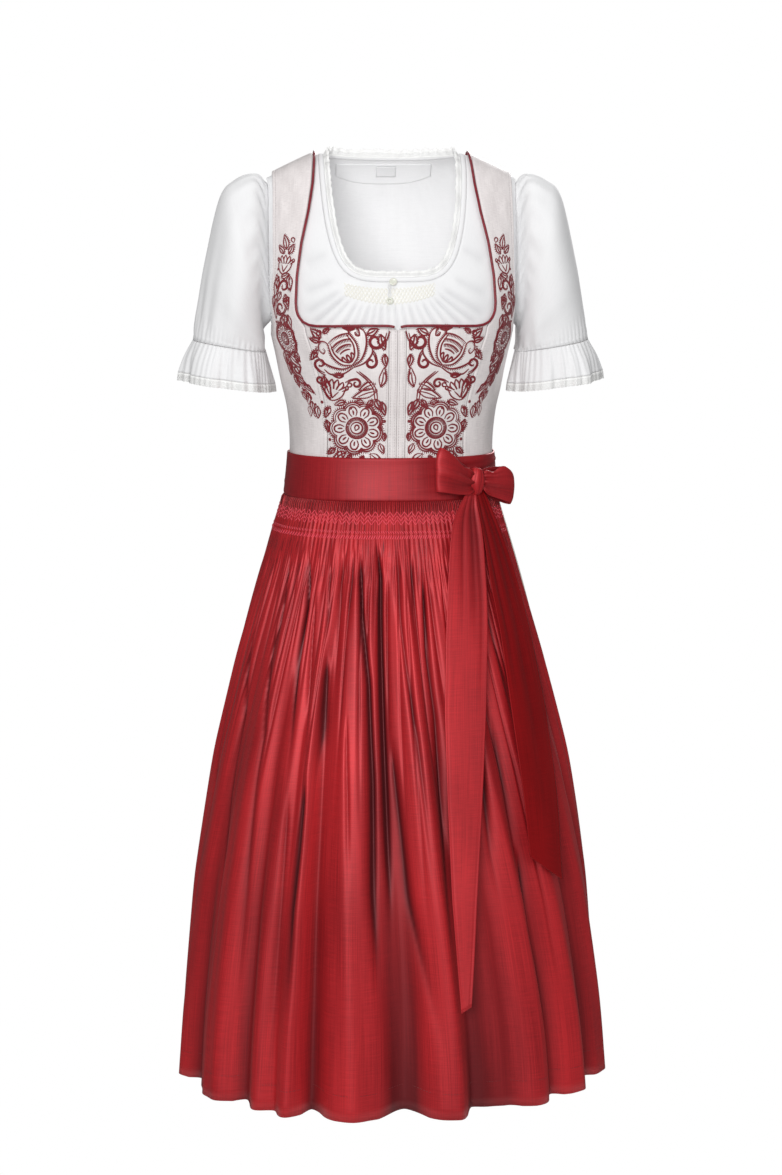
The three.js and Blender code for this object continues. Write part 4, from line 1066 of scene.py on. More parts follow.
def leaf(base, tip, belly):
    """Leaf outline between two places, with a vein and a serrated side."""
    base, tip = np.array(base, float), np.array(tip, float)
    way = tip - base
    side = np.array([-way[1], way[0]])
    bulge = side * belly
    left = bent([base, base + way * 0.35 + bulge, base + way * 0.75 + bulge * 0.6, tip], 12)
    right = bent([base, base + way * 0.4 - bulge * 0.7, base + way * 0.8 - bulge * 0.3, tip], 12)
    vein = bent([base, base + way * 0.4 + bulge * 0.2, base + way * 0.78], 8)
    return [left, right] + spikes(left, 2.2, 1.9, -1) + spikes(right, 1.5, 2.2, -1, 0) + [vein]


def drop(centre, turn, size):
    outline = bent([(0, -1), (0.75, 0.1), (0.5, 0.9), (-0.2, 1.0), (-0.7, 0.2), (0, -1)], 16)
    return [moved(outline, centre, turn, size)]


def knot_dot(centre, size):
    angles = np.linspace(0, 2 * math.pi, 9)
    ring = np.stack([np.cos(angles), np.sin(angles)], -1)
    return [np.array(centre) + size * 0.5 * ring]


def tulip(centre, turn, size):
    """Tulip of five pointed petals on a round cup."""
    lines = [bent([(-0.9, 0.55), (-0.75, -0.4), (0, -0.95), (0.75, -0.4), (0.9, 0.55)], 18)]
    for lean, height in ((-0.9, 0.72), (-0.45, 0.95), (0, 1.05), (0.45, 0.95), (0.9, 0.72)):
        root = lean * 0.55
        lines.append(bent([(root - 0.16, 0.1), (lean - 0.2, height * 0.6), (lean * 1.12, height)], 9))
        lines.append(bent([(root + 0.16, 0.1), (lean + 0.2, height * 0.6), (lean * 1.12, height)], 9))
    lines.append(bent([(-0.4, 0.0), (-0.12, -0.5), (0.0, -0.75)], 6))
    lines.append(bent([(0.4, 0.0), (0.12, -0.5), (0.0, -0.75)], 6))
    lines = [moved(line, centre, turn, size) for line in lines]
    return lines + spikes(lines[0], 1.3, 1.8, 1)


PETAL = [(0.46, -0.07), (0.62, -0.15), (0.79, -0.1), (0.83, 0), (0.79, 0.1), (0.62, 0.15), (0.46, 0.07)]
PETAL_VEIN = [(0.52, 0), (0.62, 0.01), (0.7, 0)]
EYE_RING, EYE_MIDDLE = 0.40, 0.22


def rosette(centre, radius, petals, start):
    """Round flower: scalloped and hatched edge, a ring of petals, and a hatched eye with a drop."""
    centre = np.array(centre, float)
    angles = np.linspace(0, 2 * math.pi, petals * 12 + 1) + start
    scallop = radius * (0.86 + 0.14 * np.abs(np.sin((angles - start) * petals / 2)) ** 0.7)
    ring = np.stack([np.cos(angles), np.sin(angles)], -1)
    edge = centre + ring * scallop[:, None]
    lines = [edge, centre + (edge - centre) * 0.92] + spikes(edge, radius * 0.1, 2.0, 1, 0.3)
    for petal in range(petals):
        turn = math.degrees(start) + (petal + 0.5) * 360 / petals
        lines.append(moved(bent(PETAL, 14), centre, turn, radius))
        lines.append(moved(bent(PETAL_VEIN, 5), centre, turn, radius))
    for share in (EYE_RING, EYE_MIDDLE):
        circle = centre + ring * radius * share
        lines.append(circle[::3])
    lines += spikes(centre + ring * radius * EYE_RING, radius * 0.13, 1.5, -1, 0)
    return lines + drop(centre, 25, radius * 0.11)


def scroll(centre, turn, size, hatch=True):
    """Double line that curls in on itself."""
    angles = np.linspace(0.2, 2.1 * math.pi, 34)
    reach = (1.0 - 0.105 * angles) * size
    curl = np.stack([reach * np.cos(angles), reach * np.sin(angles)], -1)
    lead = bent([(size * 1.15, -size * 1.7), (size * 1.2, -size * 0.7), tuple(curl[0])], 12)
    curl = np.concatenate([lead[:-1], curl])
    lines = [moved(curl, centre, turn), moved(curl * 0.80, centre, turn)]
    if hatch:
        lines += spikes(moved(curl, centre, turn), size * 0.16, 1.9, 1)
    return lines


# Lines of one side of the large bloom, each with its number of points: curling petal, its inner
# line, outer leaf and the leaf under it
BLOOM_LINES = (
    (
        [
            (0, -0.55), (0.42, -0.3), (0.62, 0.25), (0.55, 0.85), (0.78, 1.05), (1.0, 0.82),
            (0.93, 0.5), (0.78, 0.58), (0.8, 0.74),
        ],
        34,
    ),
    ([(0, -0.42), (0.3, -0.2), (0.48, 0.28), (0.42, 0.8)], 14),
    ([(0, -0.6), (0.5, -0.5), (0.98, -0.05), (1.2, 0.5), (1.0, 0.95)], 20),
    ([(0, -0.68), (0.55, -0.72), (1.05, -0.5), (1.22, -0.15)], 14),
)
BLOOM_ARCS = ((1.28, 27), (1.02, 30), (0.78, 30), (0.55, 28))


def fan_bloom(centre, turn, size):
    """Large bloom: hatched arcs between two curling petals on a leafy stem."""
    lines = []
    for reach, spread in BLOOM_ARCS:
        angles = np.radians(np.linspace(90 - spread, 90 + spread, 20))
        arc = np.stack([np.cos(angles) * reach, np.sin(angles) * reach - 0.35], -1)
        lines.append(arc)
    for side in (-1, 1):
        for points, count in BLOOM_LINES:
            lines.append(bent(np.array(points) * (side, 1), count))
    for lean in (-0.22, 0, 0.22):
        foot = (lean * 0.3, -0.42)
        lines.append(bent([foot, (lean - 0.07, -0.2), (lean, -0.02), (lean + 0.07, -0.2), foot], 12))
    lines = [moved(line, centre, turn, size) for line in lines]
    hatched = []
    for line in lines[:3]:
        hatched += spikes(line, size * 0.14, 1.9, -1, 0)
    for index in (4, 6, 8, 10):
        hatched += spikes(lines[index], size * 0.1, 1.9, -1 if index < 8 else 1)
    return lines + hatched


def front_motifs():
    """Motifs of a front centre panel, in x and z as seen from the front, for the wearer's left."""
    lines = fan_bloom((57, -229), -28, 24.5)
    lines += rosette((45, -313), 30, 9, 0.3) + tulip((70, -270), 16, 12.5)
    for shift in (0, 3):
        lines += [bent([(46 - shift, -248), (34 - shift, -258), (27 - shift, -268), (25 - shift, -280)], 16)]
    lines += scroll((25, -214), 200, 9.5) + scroll((86, -240), -60, 7.0) + scroll((30, -238), 150, 7.5)
    lines += scroll((46, -262), 60, 6.0) + scroll((86, -258), 250, 4.5, False)
    for base, tip, belly in (
        ((19, -266), (15, -243), 0.2), ((24, -262), (43, -270), 0.24), ((22, -270), (50, -279), 0.2),
        ((86, -212), (97, -201), 0.28), ((86, -216), (98, -212), 0.26), ((84, -205), (76, -200), 0.3),
        ((19, -206), (14, -224), 0.26), ((35, -206), (22, -200), 0.3), ((82, -253), (74, -280), 0.18),
        ((24, -279), (17, -293), 0.26), ((27, -280), (34, -291), 0.24), ((74, -288), (80, -302), 0.26),
        ((56, -341), (72, -351), 0.24), ((50, -343), (56, -352), 0.24), ((30, -342), (16, -351), 0.28),
        ((68, -337), (77, -344), 0.28), ((19, -330), (14, -342), 0.28), ((36, -345), (42, -352), 0.26),
        ((14, -228), (13, -243), 0.24), ((17, -282), (13, -298), 0.24), ((88, -224), (96, -236), 0.26),
        ((78, -304), (76, -318), 0.22), ((57, -283), (70, -287), 0.26), ((48, -201), (62, -199), 0.2),
        ((37, -284), (47, -283), 0.3), ((60, -254), (72, -253), 0.26), ((13, -318), (14, -328), 0.26),
    ):
        lines += leaf(base, tip, belly)
    lines += [bent([(62, -340), (61, -346), (58, -353)], 8), bent([(66, -336), (66, -344), (64, -353)], 8)]
    for centre in (
        (93, -228), (70, -198), (14, -250), (84, -284), (14, -305), (75, -327), (82, -264), (52, -290),
    ):
        lines += knot_dot(centre, 2.0)
    return lines + drop((88, -206), 40, 3.2) + drop((54, -264), 70, 3.0) + drop((76, -294), 10, 3.4)


def side_motifs():
    """Motifs of the garland on a side panel: across its line, and down from its top."""
    lines = rosette((0, -121), 20, 9, 0.2) + tulip((1, -31), 4, 11)
    lines += leaf((0, -14), (4, 4), 0.24) + leaf((3, -19), (12, -9), 0.28) + leaf((-3, -19), (-9, -7), 0.26)
    lines += scroll((-3, -55), 10, 8) + scroll((2, -82), 190, 10) + scroll((-5, -97), 30, 7.0)
    for base, tip, belly in (
        ((7, -44), (12, -68), 0.26), ((-7, -64), (-12, -84), 0.26), ((8, -70), (14, -96), 0.22),
        ((-11, -90), (-15, -108), 0.24), ((4, -140), (-9, -158), 0.26), ((7, -140), (11, -164), 0.24),
        ((8, -150), (-3, -172), 0.26), ((7, -166), (-3, -180), 0.28), ((8, -168), (13, -183), 0.26),
        ((9, -184), (2, -197), 0.26), ((4, -190), (10, -205), 0.26), ((10, -148), (16, -168), 0.24),
        ((4, -44), (-8, -41), 0.3), ((8, -100), (15, -108), 0.3), ((-8, -110), (-1, -101), 0.3),
        ((-6, -140), (-12, -150), 0.3), ((3, -200), (6, -214), 0.24), ((0, -62), (7, -74), 0.3),
        ((-8, -42), (-14, -60), 0.26), ((9, -58), (13, -42), 0.26), ((2, -92), (12, -84), 0.3),
        ((-4, -74), (-12, -68), 0.3), ((6, -104), (-4, -90), 0.3), ((-14, -138), (-5, -152), 0.26),
        ((12, -138), (18, -154), 0.26), ((1, -176), (-6, -190), 0.28), ((13, -188), (10, -200), 0.3),
        ((-3, -206), (2, -222), 0.26), ((9, -206), (12, -220), 0.26), ((14, -66), (17, -84), 0.24),
    ):
        lines += leaf(base, tip, belly)
    for shift in (-2, 1):
        lines += [bent([(4 + shift, -141), (10 + shift, -154), (9 + shift, -170), (6 + shift, -188)], 20)]
    lines.append(bent([(-17, -110), (-20, -122), (-15, -136)], 10))
    lines.append(bent([(17, -106), (21, -120), (17, -136)], 10))
    lines += scroll((1, -160), 200, 6.0)
    for centre in ((11, -36), (-9, -47), (-12, -58), (16, -100), (-5, -188), (0, -204), (15, -176)):
        lines += knot_dot(centre, 1.9)
    return lines + drop((-8, -3), -20, 3.0) + drop((-4, -182), 20, 2.8) + drop((5, -218), 10, 2.6)


# Line of the garland: distance down it, angle round the bodice and height
GARLAND = [
    (0, 47.4, -99), (28, 49.0, -127), (59, 52.8, -158), (121, 58.0, -213), (167, 52.0, -254),
    (192, 45.4, -276), (214, 43.4, -296), (236, 41.4, -316),
]


def flat_strokes(lines, side, width):
    """Lines in x and z laid on the front of the bodice."""
    strokes = []
    for line in lines:
        x, z = line[:, 0], line[:, 1]
        station = station_at(z)
        strokes.append(laid_stroke(angle_for_x(x, station), station, side, width, len(line) > 3))
    return strokes


def garland_strokes(lines, side, width):
    """Lines across and down a garland that follows the side panel."""
    strokes = []
    rows = np.array(GARLAND, float)
    for line in lines:
        down = -line[:, 1]
        z = np.interp(down, rows[:, 0], rows[:, 2]) + np.where(down < 0, -down, 0)
        station = station_at(z)
        axis = np.interp(down, rows[:, 0], rows[:, 1])
        beside = torso_surface(axis + 1, station) - torso_surface(axis - 1, station)
        step = np.linalg.norm(beside, axis=-1) / 2
        strokes.append(laid_stroke(axis + line[:, 0] / step, station, side, width, len(line) > 3))
    return strokes


def laid_stroke(angle, station, side, width, long):
    """One thread on the bodice, tapered at both ends where it is long and to its tip where short."""
    points = torso(angle, station, 0.12)
    normals = torso_normal(angle, station)
    steps = len(points)
    taper = np.sin(np.linspace(0.25, math.pi - 0.25, steps)) ** 0.5 if long else np.array([1.0, 0.9, 0.5])
    return points * (side, 1, 1), normals * (side, 1, 1), width * taper * (1.0 if long else 0.62)


STITCH_LENGTH, STITCH_GAP, STITCH_WIDTH = 2.3, 1.0, 0.42
FRONT_THREAD, SIDE_THREAD = 2.1, 1.7
PLACKET_STITCHES = (0.25, 0.76)


def seam_stitches(places):
    """Stitches along a path on the bodice, given as angles and stations."""
    points, normals = torso(*places, 0.05), torso_normal(*places)
    run = np.concatenate([[0], np.cumsum(np.linalg.norm(np.diff(points, axis=0), axis=1))])
    strokes = []
    widths = [STITCH_WIDTH * 0.7, STITCH_WIDTH, STITCH_WIDTH * 0.7]
    for start in np.arange(0.5, run[-1] - STITCH_LENGTH, STITCH_LENGTH + STITCH_GAP):
        at = np.linspace(start, start + STITCH_LENGTH, 3)
        place = np.stack([np.interp(at, run, points[:, k]) for k in range(3)], -1)
        normal = np.stack([np.interp(at, run, normals[:, k]) for k in range(3)], -1)
        strokes.append((place, normal, widths))
    return strokes


def bodice_seams(side):
    """Stitch lines of one half of the bodice: placket, princess seam, armhole and side back."""
    strokes = []
    z = np.linspace(-199, WAIST, 160)
    for x in (2.4, 7.4, PLACKET + 2.6):
        strokes += seam_stitches((side * angle_for_x(x + 0 * z, station_at(z)), station_at(z)))
    low = np.linspace(-207, WAIST, 160)
    for aside in (-SEAM_STITCHES, SEAM_STITCHES):
        x = inner_edge(low) + aside
        strokes += seam_stitches((side * angle_for_x(x, station_at(low)), station_at(low)))
    whole = np.linspace(-3, -207, 200)
    armhole = armhole_angle(whole) - 2.9
    for degrees in (armhole, 180 - armhole):
        strokes += seam_stitches((side * degrees, np.maximum(station_at(whole), TOP_STATION)))
    back = np.linspace(-84, WAIST, 200)
    for aside in (-SEAM_STITCHES, SEAM_STITCHES):
        x = back_inner_edge(back) + aside
        strokes += seam_stitches((side * angle_for_x(x, station_at(back), True), station_at(back)))
    return strokes


# Skirt and apron

# Skirt without its folds: z, half width, depth to the front and to the back, and power
SKIRT = np.array(
    [
        (-1088, 250, 208, 211, 2.05), (-1000, 244, 205, 208, 2.06), (-850, 229, 197, 200, 2.08),
        (-700, 206, 181, 183, 2.1), (-584, 181, 160, 160, 2.12), (-500, 158, 141, 139, 2.15),
        (-430, 137, 119, 114, 2.2), (-397, 126, 106, 96, 2.25), (-352, 121.4, 101, 88, 2.3),
    ]
)
HEM, BAND_BOTTOM, BAND_TOP, FOLD_TOP = -1088, -397, -347, -405
SKIRT_TOP, APRON_TOP, HEM_LINE = -352.3, -391, -1058
SKIRT_FRONT_ENDS, SKIRT_BACK_ENDS = (-89.9, 89.9), (90.1, 269.9)
APRON_RIGHT, APRON_LEFT = {"top": -96, "hem": -125}, {"top": 71, "hem": 110}
PLEATS, PLEATS_END, PLEATS_GONE = 75, -430, -470
# How far the skirt lies inside the apron at the band and at the hem, and inside its own fold line
NEST_AT_BAND, NEST_AT_HEM, SKIRT_INSET = 0.9, 5.4, 1.9

# Crests and troughs at the hem: angle from the front round by the wearer's left, and reach
FOLDS = np.array(
    [
        (-180, -12), (-169, 12), (-158, -14), (-147, 12), (-136, -12), (-125, 4), (-114, -8), (-102, 9),
        (-90, -4), (-82, 7), (-72, -10), (-55, 12), (-46, -9), (-40, 8), (-35, 0), (-30, 17), (-25, -11),
        (-14, 15), (1, -17), (14, 15), (20, -12), (30, -7), (40, 9), (46, -7), (56, 10), (66, -9),
        (78, 9), (90, -6), (101, 8), (110, -3), (121, 11), (132, -13), (144, 12), (156, -14), (168, 12),
        (180, -12),
    ],
    float,
)

# Deep folds of the apron that end before the hem or start below the band: depth and half width in
# millimetres, then the height and hem angle of each of its places
LONG_FOLDS = [
    (8.0, 4.2, [(-452, -13.8), (-516, -11.2), (-596, -6.9), (-704, -5.8), (-831, -6.6), (-971, -5.8)]),
    (8.5, 3.6, [(-440, -3.6), (-482, -1.2), (-594, -0.9), (-725, -1.1), (-900, -1.5)]),
    (7.0, 4.2, [(-455, -49.5), (-515, -43.8), (-578, -43.5), (-654, -40.2), (-735, -38.5)]),
    (7.0, 5.6, [(-700, -31.0), (-787, -31.0), (-856, -31.6), (-990, -30.2)]),
    (7.5, 4.6, [(-560, -27.8), (-652, -26.9), (-722, -27.6)]),
    (4.0, 2.6, [(-455, -32.5), (-510, -30.0), (-562, -27.8)]),
    (3.2, 1.9, [(-632, -15.9), (-720, -14.5), (-830, -13.6)]),
    (3.2, 2.2, [(-500, -38.6), (-608, -34.8), (-715, -30.4)]),
    (4.6, 3.2, [(-473, 24.8), (-563, 21.9), (-636, 22.2), (-726, 19.6), (-833, 17.0), (-946, 15.5)]),
    (4.2, 2.8, [(-446, 9.6), (-530, 9.8), (-658, 12.9), (-766, 12.8), (-830, 12.8)]),
    (6.5, 4.2, [(-560, 46.0), (-664, 38.6), (-793, 34.4), (-872, 33.9)]),
    (5.0, 5.5, [(-790, 47.2), (-882, 43.4), (-984, 46.0), (-1050, 49.2)]),
    (4.0, 5.5, [(-536, -63.8), (-658, -54.0), (-722, -53.4), (-844, -50.9), (-1002, -49.9)]),
    (3.6, 5.0, [(-505, -86.8), (-556, -83.4), (-648, -74.5), (-744, -73.4), (-854, -66.9), (-974, -64.5)]),
    (3.4, 4.6, [(-726, -37.8), (-837, -36.6), (-954, -36.4), (-1050, -36.9)]),
    (4.6, 6.0, [(-662, 2.2), (-771, 4.0), (-835, 4.6), (-924, 8.1), (-1024, 11.5)]),
    (4.0, 3.6, [(-452, -67.6), (-504, -61.5), (-576, -58.1), (-650, -57.9)]),
    (3.8, 2.4, [(-447, -23.0), (-490, -24.9), (-545, -24.0)]),
    (3.8, 2.4, [(-447, 18.4), (-517, 16.9), (-610, 17.1)]),
    (3.4, 4.4, [(-640, -98.0), (-720, -94.0), (-816, -82.0)]),
    (3.6, 2.4, [(-444, -18.2), (-500, -17.6), (-540, -17.0)]),
    (4.0, 5.0, [(-640, 48.5), (-780, 45.5), (-872, 41.2)]),
    (3.6, 4.0, [(-460, 62.0), (-560, 60.0), (-700, 58.0)]),
    (3.4, 4.0, [(-460, 78.0), (-600, 74.0), (-760, 72.0)]),
    (3.4, 4.0, [(-455, 92.0), (-560, 95.0), (-700, 92.0)]),
    (3.4, 4.0, [(-455, -110.0), (-560, -106.0), (-700, -104.0)]),
]


def random_gathers(first, last, pitch, top, shortest, longest, deepest, seed):
    """Short gathers below the band: places, depth and half width, scattered by a fixed seed."""
    scatter = np.random.default_rng(seed)
    made = []
    for angle in np.arange(first, last, pitch):
        place = angle + scatter.uniform(-0.3, 0.3) * pitch
        start = top - scatter.uniform(0, 10)
        length = scatter.uniform(shortest, longest) * (1.6 if scatter.random() < 0.3 else 1.0)
        drift = scatter.uniform(-1.0, 1.0) * length / 70
        deep = scatter.uniform(0.55, 1.0) * deepest
        middle = (start - length * 0.5, place + drift * 0.6)
        places = [(start, place), middle, (start - length, place + drift)]
        made.append((deep, scatter.uniform(0.9, 1.5), places))
    return made


APRON_GATHERS = random_gathers(-124, 109, 1.75, -440, 22, 95, 2.4, 3)
APRON_SOFT = random_gathers(-122, 108, 5.2, -475, 90, 330, 3.4, 5)
SKIRT_GATHERS = random_gathers(112, 234, 4.4, -402, 60, 260, 2.8, 9)
SECTION_HEIGHTS = np.arange(-1100.0, -340.0, 2.0)
SECTION_COLUMNS = [rounded(SKIRT[:, (0, column)], SECTION_HEIGHTS, 4, 36) for column in (1, 2, 3, 4)]


def skirt_section(z):
    return [np.interp(z, SECTION_HEIGHTS, column) for column in SECTION_COLUMNS]


def fanned(hem_angle, z):
    """Angle at a height of what hangs at an angle of the hem: the apron's sides lean in upwards."""
    share = smooth_share(HEM, BAND_BOTTOM, z)
    right_hem, left_hem = APRON_RIGHT["hem"], APRON_LEFT["hem"]
    right = right_hem + (APRON_RIGHT["top"] - right_hem) * share
    left = left_hem + (APRON_LEFT["top"] - left_hem) * share
    middle = right + (hem_angle - right_hem) * (left - right) / (left_hem - right_hem)
    before = -180 + (hem_angle + 180) * (right + 180) / (right_hem + 180)
    after = left + (hem_angle - left_hem) * (180 - left) / (180 - left_hem)
    return np.where(hem_angle < right_hem, before, np.where(hem_angle < left_hem, middle, after))


def hem_reach(hem_angle):
    """Reach of the folds at the hem: broad crests between narrower troughs."""
    index = np.clip(np.searchsorted(FOLDS[:, 0], hem_angle) - 1, 0, len(FOLDS) - 2)
    start, end = FOLDS[index], FOLDS[index + 1]
    share = (hem_angle - start[:, 0]) / (end[:, 0] - start[:, 0])
    rise = 0.5 - 0.5 * np.cos(np.pi * share)
    rising = end[:, 1] > start[:, 1]
    up = np.where(rising, rise, 1 - rise) ** 0.8
    low, high = np.minimum(start[:, 1], end[:, 1]), np.maximum(start[:, 1], end[:, 1])
    return low + (high - low) * up


def fold_growth(z):
    """How far the big folds have opened at a height: 0 below the band, 1 at the hem."""
    return np.clip((z - FOLD_TOP) / (HEM - FOLD_TOP), 0, None) ** 0.85


def fold_depth(hem_angle, z, folds, half_width, widen=1.0):
    """Depth of a set of creases that run down the cloth, fading at both ends."""
    depth = np.zeros_like(z)
    squeeze = (fanned(hem_angle + 0.5, z) - fanned(hem_angle - 0.5, z)) * math.pi / 180
    for deep, half, places in folds:
        rows = np.array(places)[::-1]
        centre = np.interp(z, rows[:, 0], rows[:, 1])
        top, bottom = places[0][0], places[-1][0]
        ease = min(170, (top - bottom) * 0.62)
        fade = smooth_share(bottom - 12, bottom + ease, z) * (1 - smooth_share(top - 34, top + 4, z))
        run = (top - z) / (top - bottom)
        width = half * widen * (0.34 + 1.05 * np.clip(run, 0, 1) ** 0.6)
        aside = (hem_angle - centre) * squeeze * half_width / width
        depth += deep * fade * np.exp(-np.abs(aside) ** 1.4)
    return depth


def trough_at(hem_angle, z):
    """How far a place lies in a trough between the big folds, from 0 to 1, used as painted shade."""
    return np.clip((3 - hem_reach(hem_angle)) / 14, 0, 1) * fold_growth(z)


def skirt_point(hem_angle, z, depth, inset, rise=0.0):
    """Points of the skirt or apron, pushed in by creases and an inset, the hem raised by rise."""
    angle = fanned(hem_angle, z)
    half, front, back, power = skirt_section(z)
    across, along = unit_section(angle, power)
    reach = hem_reach(hem_angle)
    out = reach * fold_growth(z) - depth - inset
    x = (half + out) * across
    y = -(np.where(along > 0, front, back) + out) * along
    share = (SKIRT_TOP - z) / (SKIRT_TOP - HEM)
    lift = share**2 * (rise + 0.35 * np.maximum(0, -reach))
    return np.stack([x, y, z + lift], -1)


def apron_rows(down):
    """Height of a row: rows lie closer together at the gathers."""
    return APRON_TOP + (HEM - APRON_TOP) * (0.45 * down + 0.55 * down**1.8)


def apron_depth(hem_angle, z):
    """Depth of all creases of the apron."""
    half = skirt_section(z)[0]
    depth = fold_depth(hem_angle, z, LONG_FOLDS, half)
    depth += fold_depth(hem_angle, z, APRON_GATHERS, half)
    return depth + fold_depth(hem_angle, z, APRON_SOFT, half, 1.7)


def apron_pleats(across, z):
    """Height of the small even pleats at the gathers."""
    gone = smooth_share(PLEATS_END, PLEATS_GONE, z)
    return 0.5 * np.sin(across * 2 * math.pi * PLEATS) * (1 - gone)


def apron_place(across, down):
    """The apron panel, from under its band to the hem."""
    hem_angle = APRON_RIGHT["hem"] + (APRON_LEFT["hem"] - APRON_RIGHT["hem"]) * across
    z = apron_rows(down)
    depth = apron_depth(hem_angle, z)
    pleat = apron_pleats(across, z) * smooth_share(BAND_BOTTOM, -400, z)
    hem_line = 0.5 * np.exp(-(((z - HEM_LINE) / 1.6) ** 2))
    ripple = 0.8 * np.sin(hem_angle * 0.9 + z * 0.012) * fold_growth(z)
    tuck = 2.2 * smooth_share(-399, -395, z)
    points = skirt_point(hem_angle, z, depth + hem_line - pleat - ripple + tuck, 0.0)
    # Painted shade: dark in the deep creases and in the troughs between the big folds
    return points, np.clip(depth / 5.4, 0, 1) ** 1.7 + 0.92 * trough_at(hem_angle, z) ** 1.6


def skirt_place(start, end, at_front):
    """Front or back of the skirt. What the apron covers follows its creases."""

    def place(across, down):
        around = start + (end - start) * across
        hem_angle = np.where(around > 180, around - 360, around)
        z = SKIRT_TOP + (HEM - SKIRT_TOP) * (0.6 * down + 0.4 * down**1.6)
        depth = apron_depth(hem_angle, z)
        if not at_front:
            on_left, on_right = hem_angle < APRON_LEFT["hem"], hem_angle > APRON_RIGHT["hem"]
            covered = np.where(hem_angle > 0, on_left, on_right)
            depth = depth * covered * smooth_share(0, 6, edge_distance(hem_angle))
            depth += fold_depth(around, z, SKIRT_GATHERS, skirt_section(z)[0])
            below_seam = smooth_share(-352, -360, z) * (1 - smooth_share(-400, -440, z))
            depth += 0.5 * np.sin(around * 2.9) * below_seam
        nest = NEST_AT_BAND + (NEST_AT_HEM - NEST_AT_BAND) * smooth_share(BAND_BOTTOM, -640, z)
        # Painted shade in the creases and in the troughs between the big folds
        shade = np.clip(depth / 3.5, 0, 1) * 0.7 + 0.5 * trough_at(hem_angle, z)
        return skirt_point(hem_angle, z, depth, nest + SKIRT_INSET, 5.0), shade

    return place


def edge_distance(hem_angle):
    """Degrees to the nearer side of the apron."""
    return np.minimum(np.abs(hem_angle - APRON_LEFT["hem"]), np.abs(hem_angle - APRON_RIGHT["hem"]))


# Band, tie and smocking stitches

BAND_OFFSET = 2.7
WAISTBAND_ENDS, TIE_ENDS = (-96, 80), (80.14, 263.86)
ZIGZAG_ROWS, ZIGZAG_HALF, ZIGZAGS = (-410.2, -414.6, -419.0), 2.9, 92
# Narrow rows of stitches: height, half rise and thickness of each, and which way it leans
NARROW_ROWS, NARROW_STITCHES = ((-430.0, 1.4, 1.1, 1), (-435.4, 2.1, 1.4, -1)), 150
HEM_STITCHES = 329


def band(start, end, creased):
    """Waistband or tie, from an angle to an angle, pulled into creases near the bow, with painted shade in
    them.
    """

    def place(across, down):
        angle = start + (end - start) * across
        z = BAND_TOP + (BAND_BOTTOM + 0.3 - BAND_TOP) * down
        edge = np.minimum(down, 1 - down) * 50
        lift = -0.6 * np.exp(-((edge / 1.0) ** 2)) - 0.3 * np.exp(-(((edge - 2.6) / 0.6) ** 2))
        pull = smooth_share(0.5, 0.95, across) if creased else 0.4
        waves = np.sin(z * 0.36 + angle * 0.05) + 0.7 * np.sin(z * 0.71 - angle * 0.13)
        lift += 0.7 * pull * waves * smooth_share(0, 8, edge) + 0.35 * np.sin(angle * 0.13 + z * 0.05)
        # Painted shade where the creases sink in, more near the bow
        return torso(angle, station_at(z), BAND_OFFSET + lift), 0.22 * pull * np.clip(-waves, 0, 2)

    return place


def apron_surface(hem_angle, z, lift):
    """Points and normals on the apron for stitches that lie on it."""

    def at(angle, height):
        across = (angle - APRON_RIGHT["hem"]) / (APRON_LEFT["hem"] - APRON_RIGHT["hem"])
        depth = apron_depth(angle, height) - apron_pleats(across, height)
        return skirt_point(angle, height, depth, 0.0)

    points = at(hem_angle, z)
    normal = np.cross(at(hem_angle, z - 0.5) - points, at(hem_angle + 0.2, z) - points)
    normal /= np.linalg.norm(normal, axis=-1, keepdims=True)
    return points + normal * lift, normal


def laid_on_apron(runs, lift):
    """Strokes on the apron from runs of hem angles, heights and widths, placed in one go."""
    angles, heights, widths = (np.concatenate([run[k] for run in runs]) for k in range(3))
    points, normals = apron_surface(angles, heights, lift)
    ends = np.cumsum([len(run[0]) for run in runs])[:-1]
    return list(zip(*(np.split(rows, ends) for rows in (points, normals, widths))))


def smocking_stitches():
    """Zigzag rows below the band, and two narrow rows of stitches at the gathers."""
    runs = []
    first, last = APRON_RIGHT["hem"] + 1.5, APRON_LEFT["hem"] - 1.5
    corners = np.linspace(first, last, ZIGZAGS + 1)
    for middle in ZIGZAG_ROWS:
        for k in range(ZIGZAGS):
            way = 1 if k % 2 else -1
            z = middle + way * np.linspace(ZIGZAG_HALF, -ZIGZAG_HALF, 5)
            line = np.linspace(corners[k], corners[k + 1], 5)
            runs.append((line, z, np.array([0.7, 1.0, 1.05, 1.0, 0.7])))
    fine = (last - first) / NARROW_STITCHES
    for k in range(NARROW_STITCHES):
        start = first + fine * k
        for middle, rise, thick, way in NARROW_ROWS:
            line = start + fine * np.array([0.1, 0.5, 0.9]) * way
            z = np.array([middle + rise, middle, middle - rise])
            runs.append((line, z, thick * np.array([0.6, 1.0, 0.6])))
    return laid_on_apron(runs, 0.4)


def hem_stitches():
    """Stitches along the turned hem of the apron."""
    ends = np.linspace(APRON_RIGHT["hem"] + 1, APRON_LEFT["hem"] - 1, HEM_STITCHES + 1)
    line = (ends[1] - ends[0]) * np.array([0.15, 0.5, 0.85])
    heights, widths = np.full(3, float(HEM_LINE)), np.array([0.35, 0.55, 0.35])
    runs = [(end + line, heights, widths) for end in ends[:-1]]
    return laid_on_apron(runs, 0.12)


# Bow

KNOT = {"x": 85, "z": -377, "half_width": 10, "half_height": 16, "half_depth": 9}
# Length of each loop, its tilt in degrees, its height at the knot and at its far end, and how far
# the upper and lower far corners are cut back
LOOPS = {
    "bow_loop_right": {"side": -1, "length": 51, "tilt": 18, "root": 22, "end": 50, "cuts": (6, 1)},
    "bow_loop_left": {"side": 1, "length": 47, "tilt": -9, "root": 22, "end": 44, "cuts": (17, 6)},
}


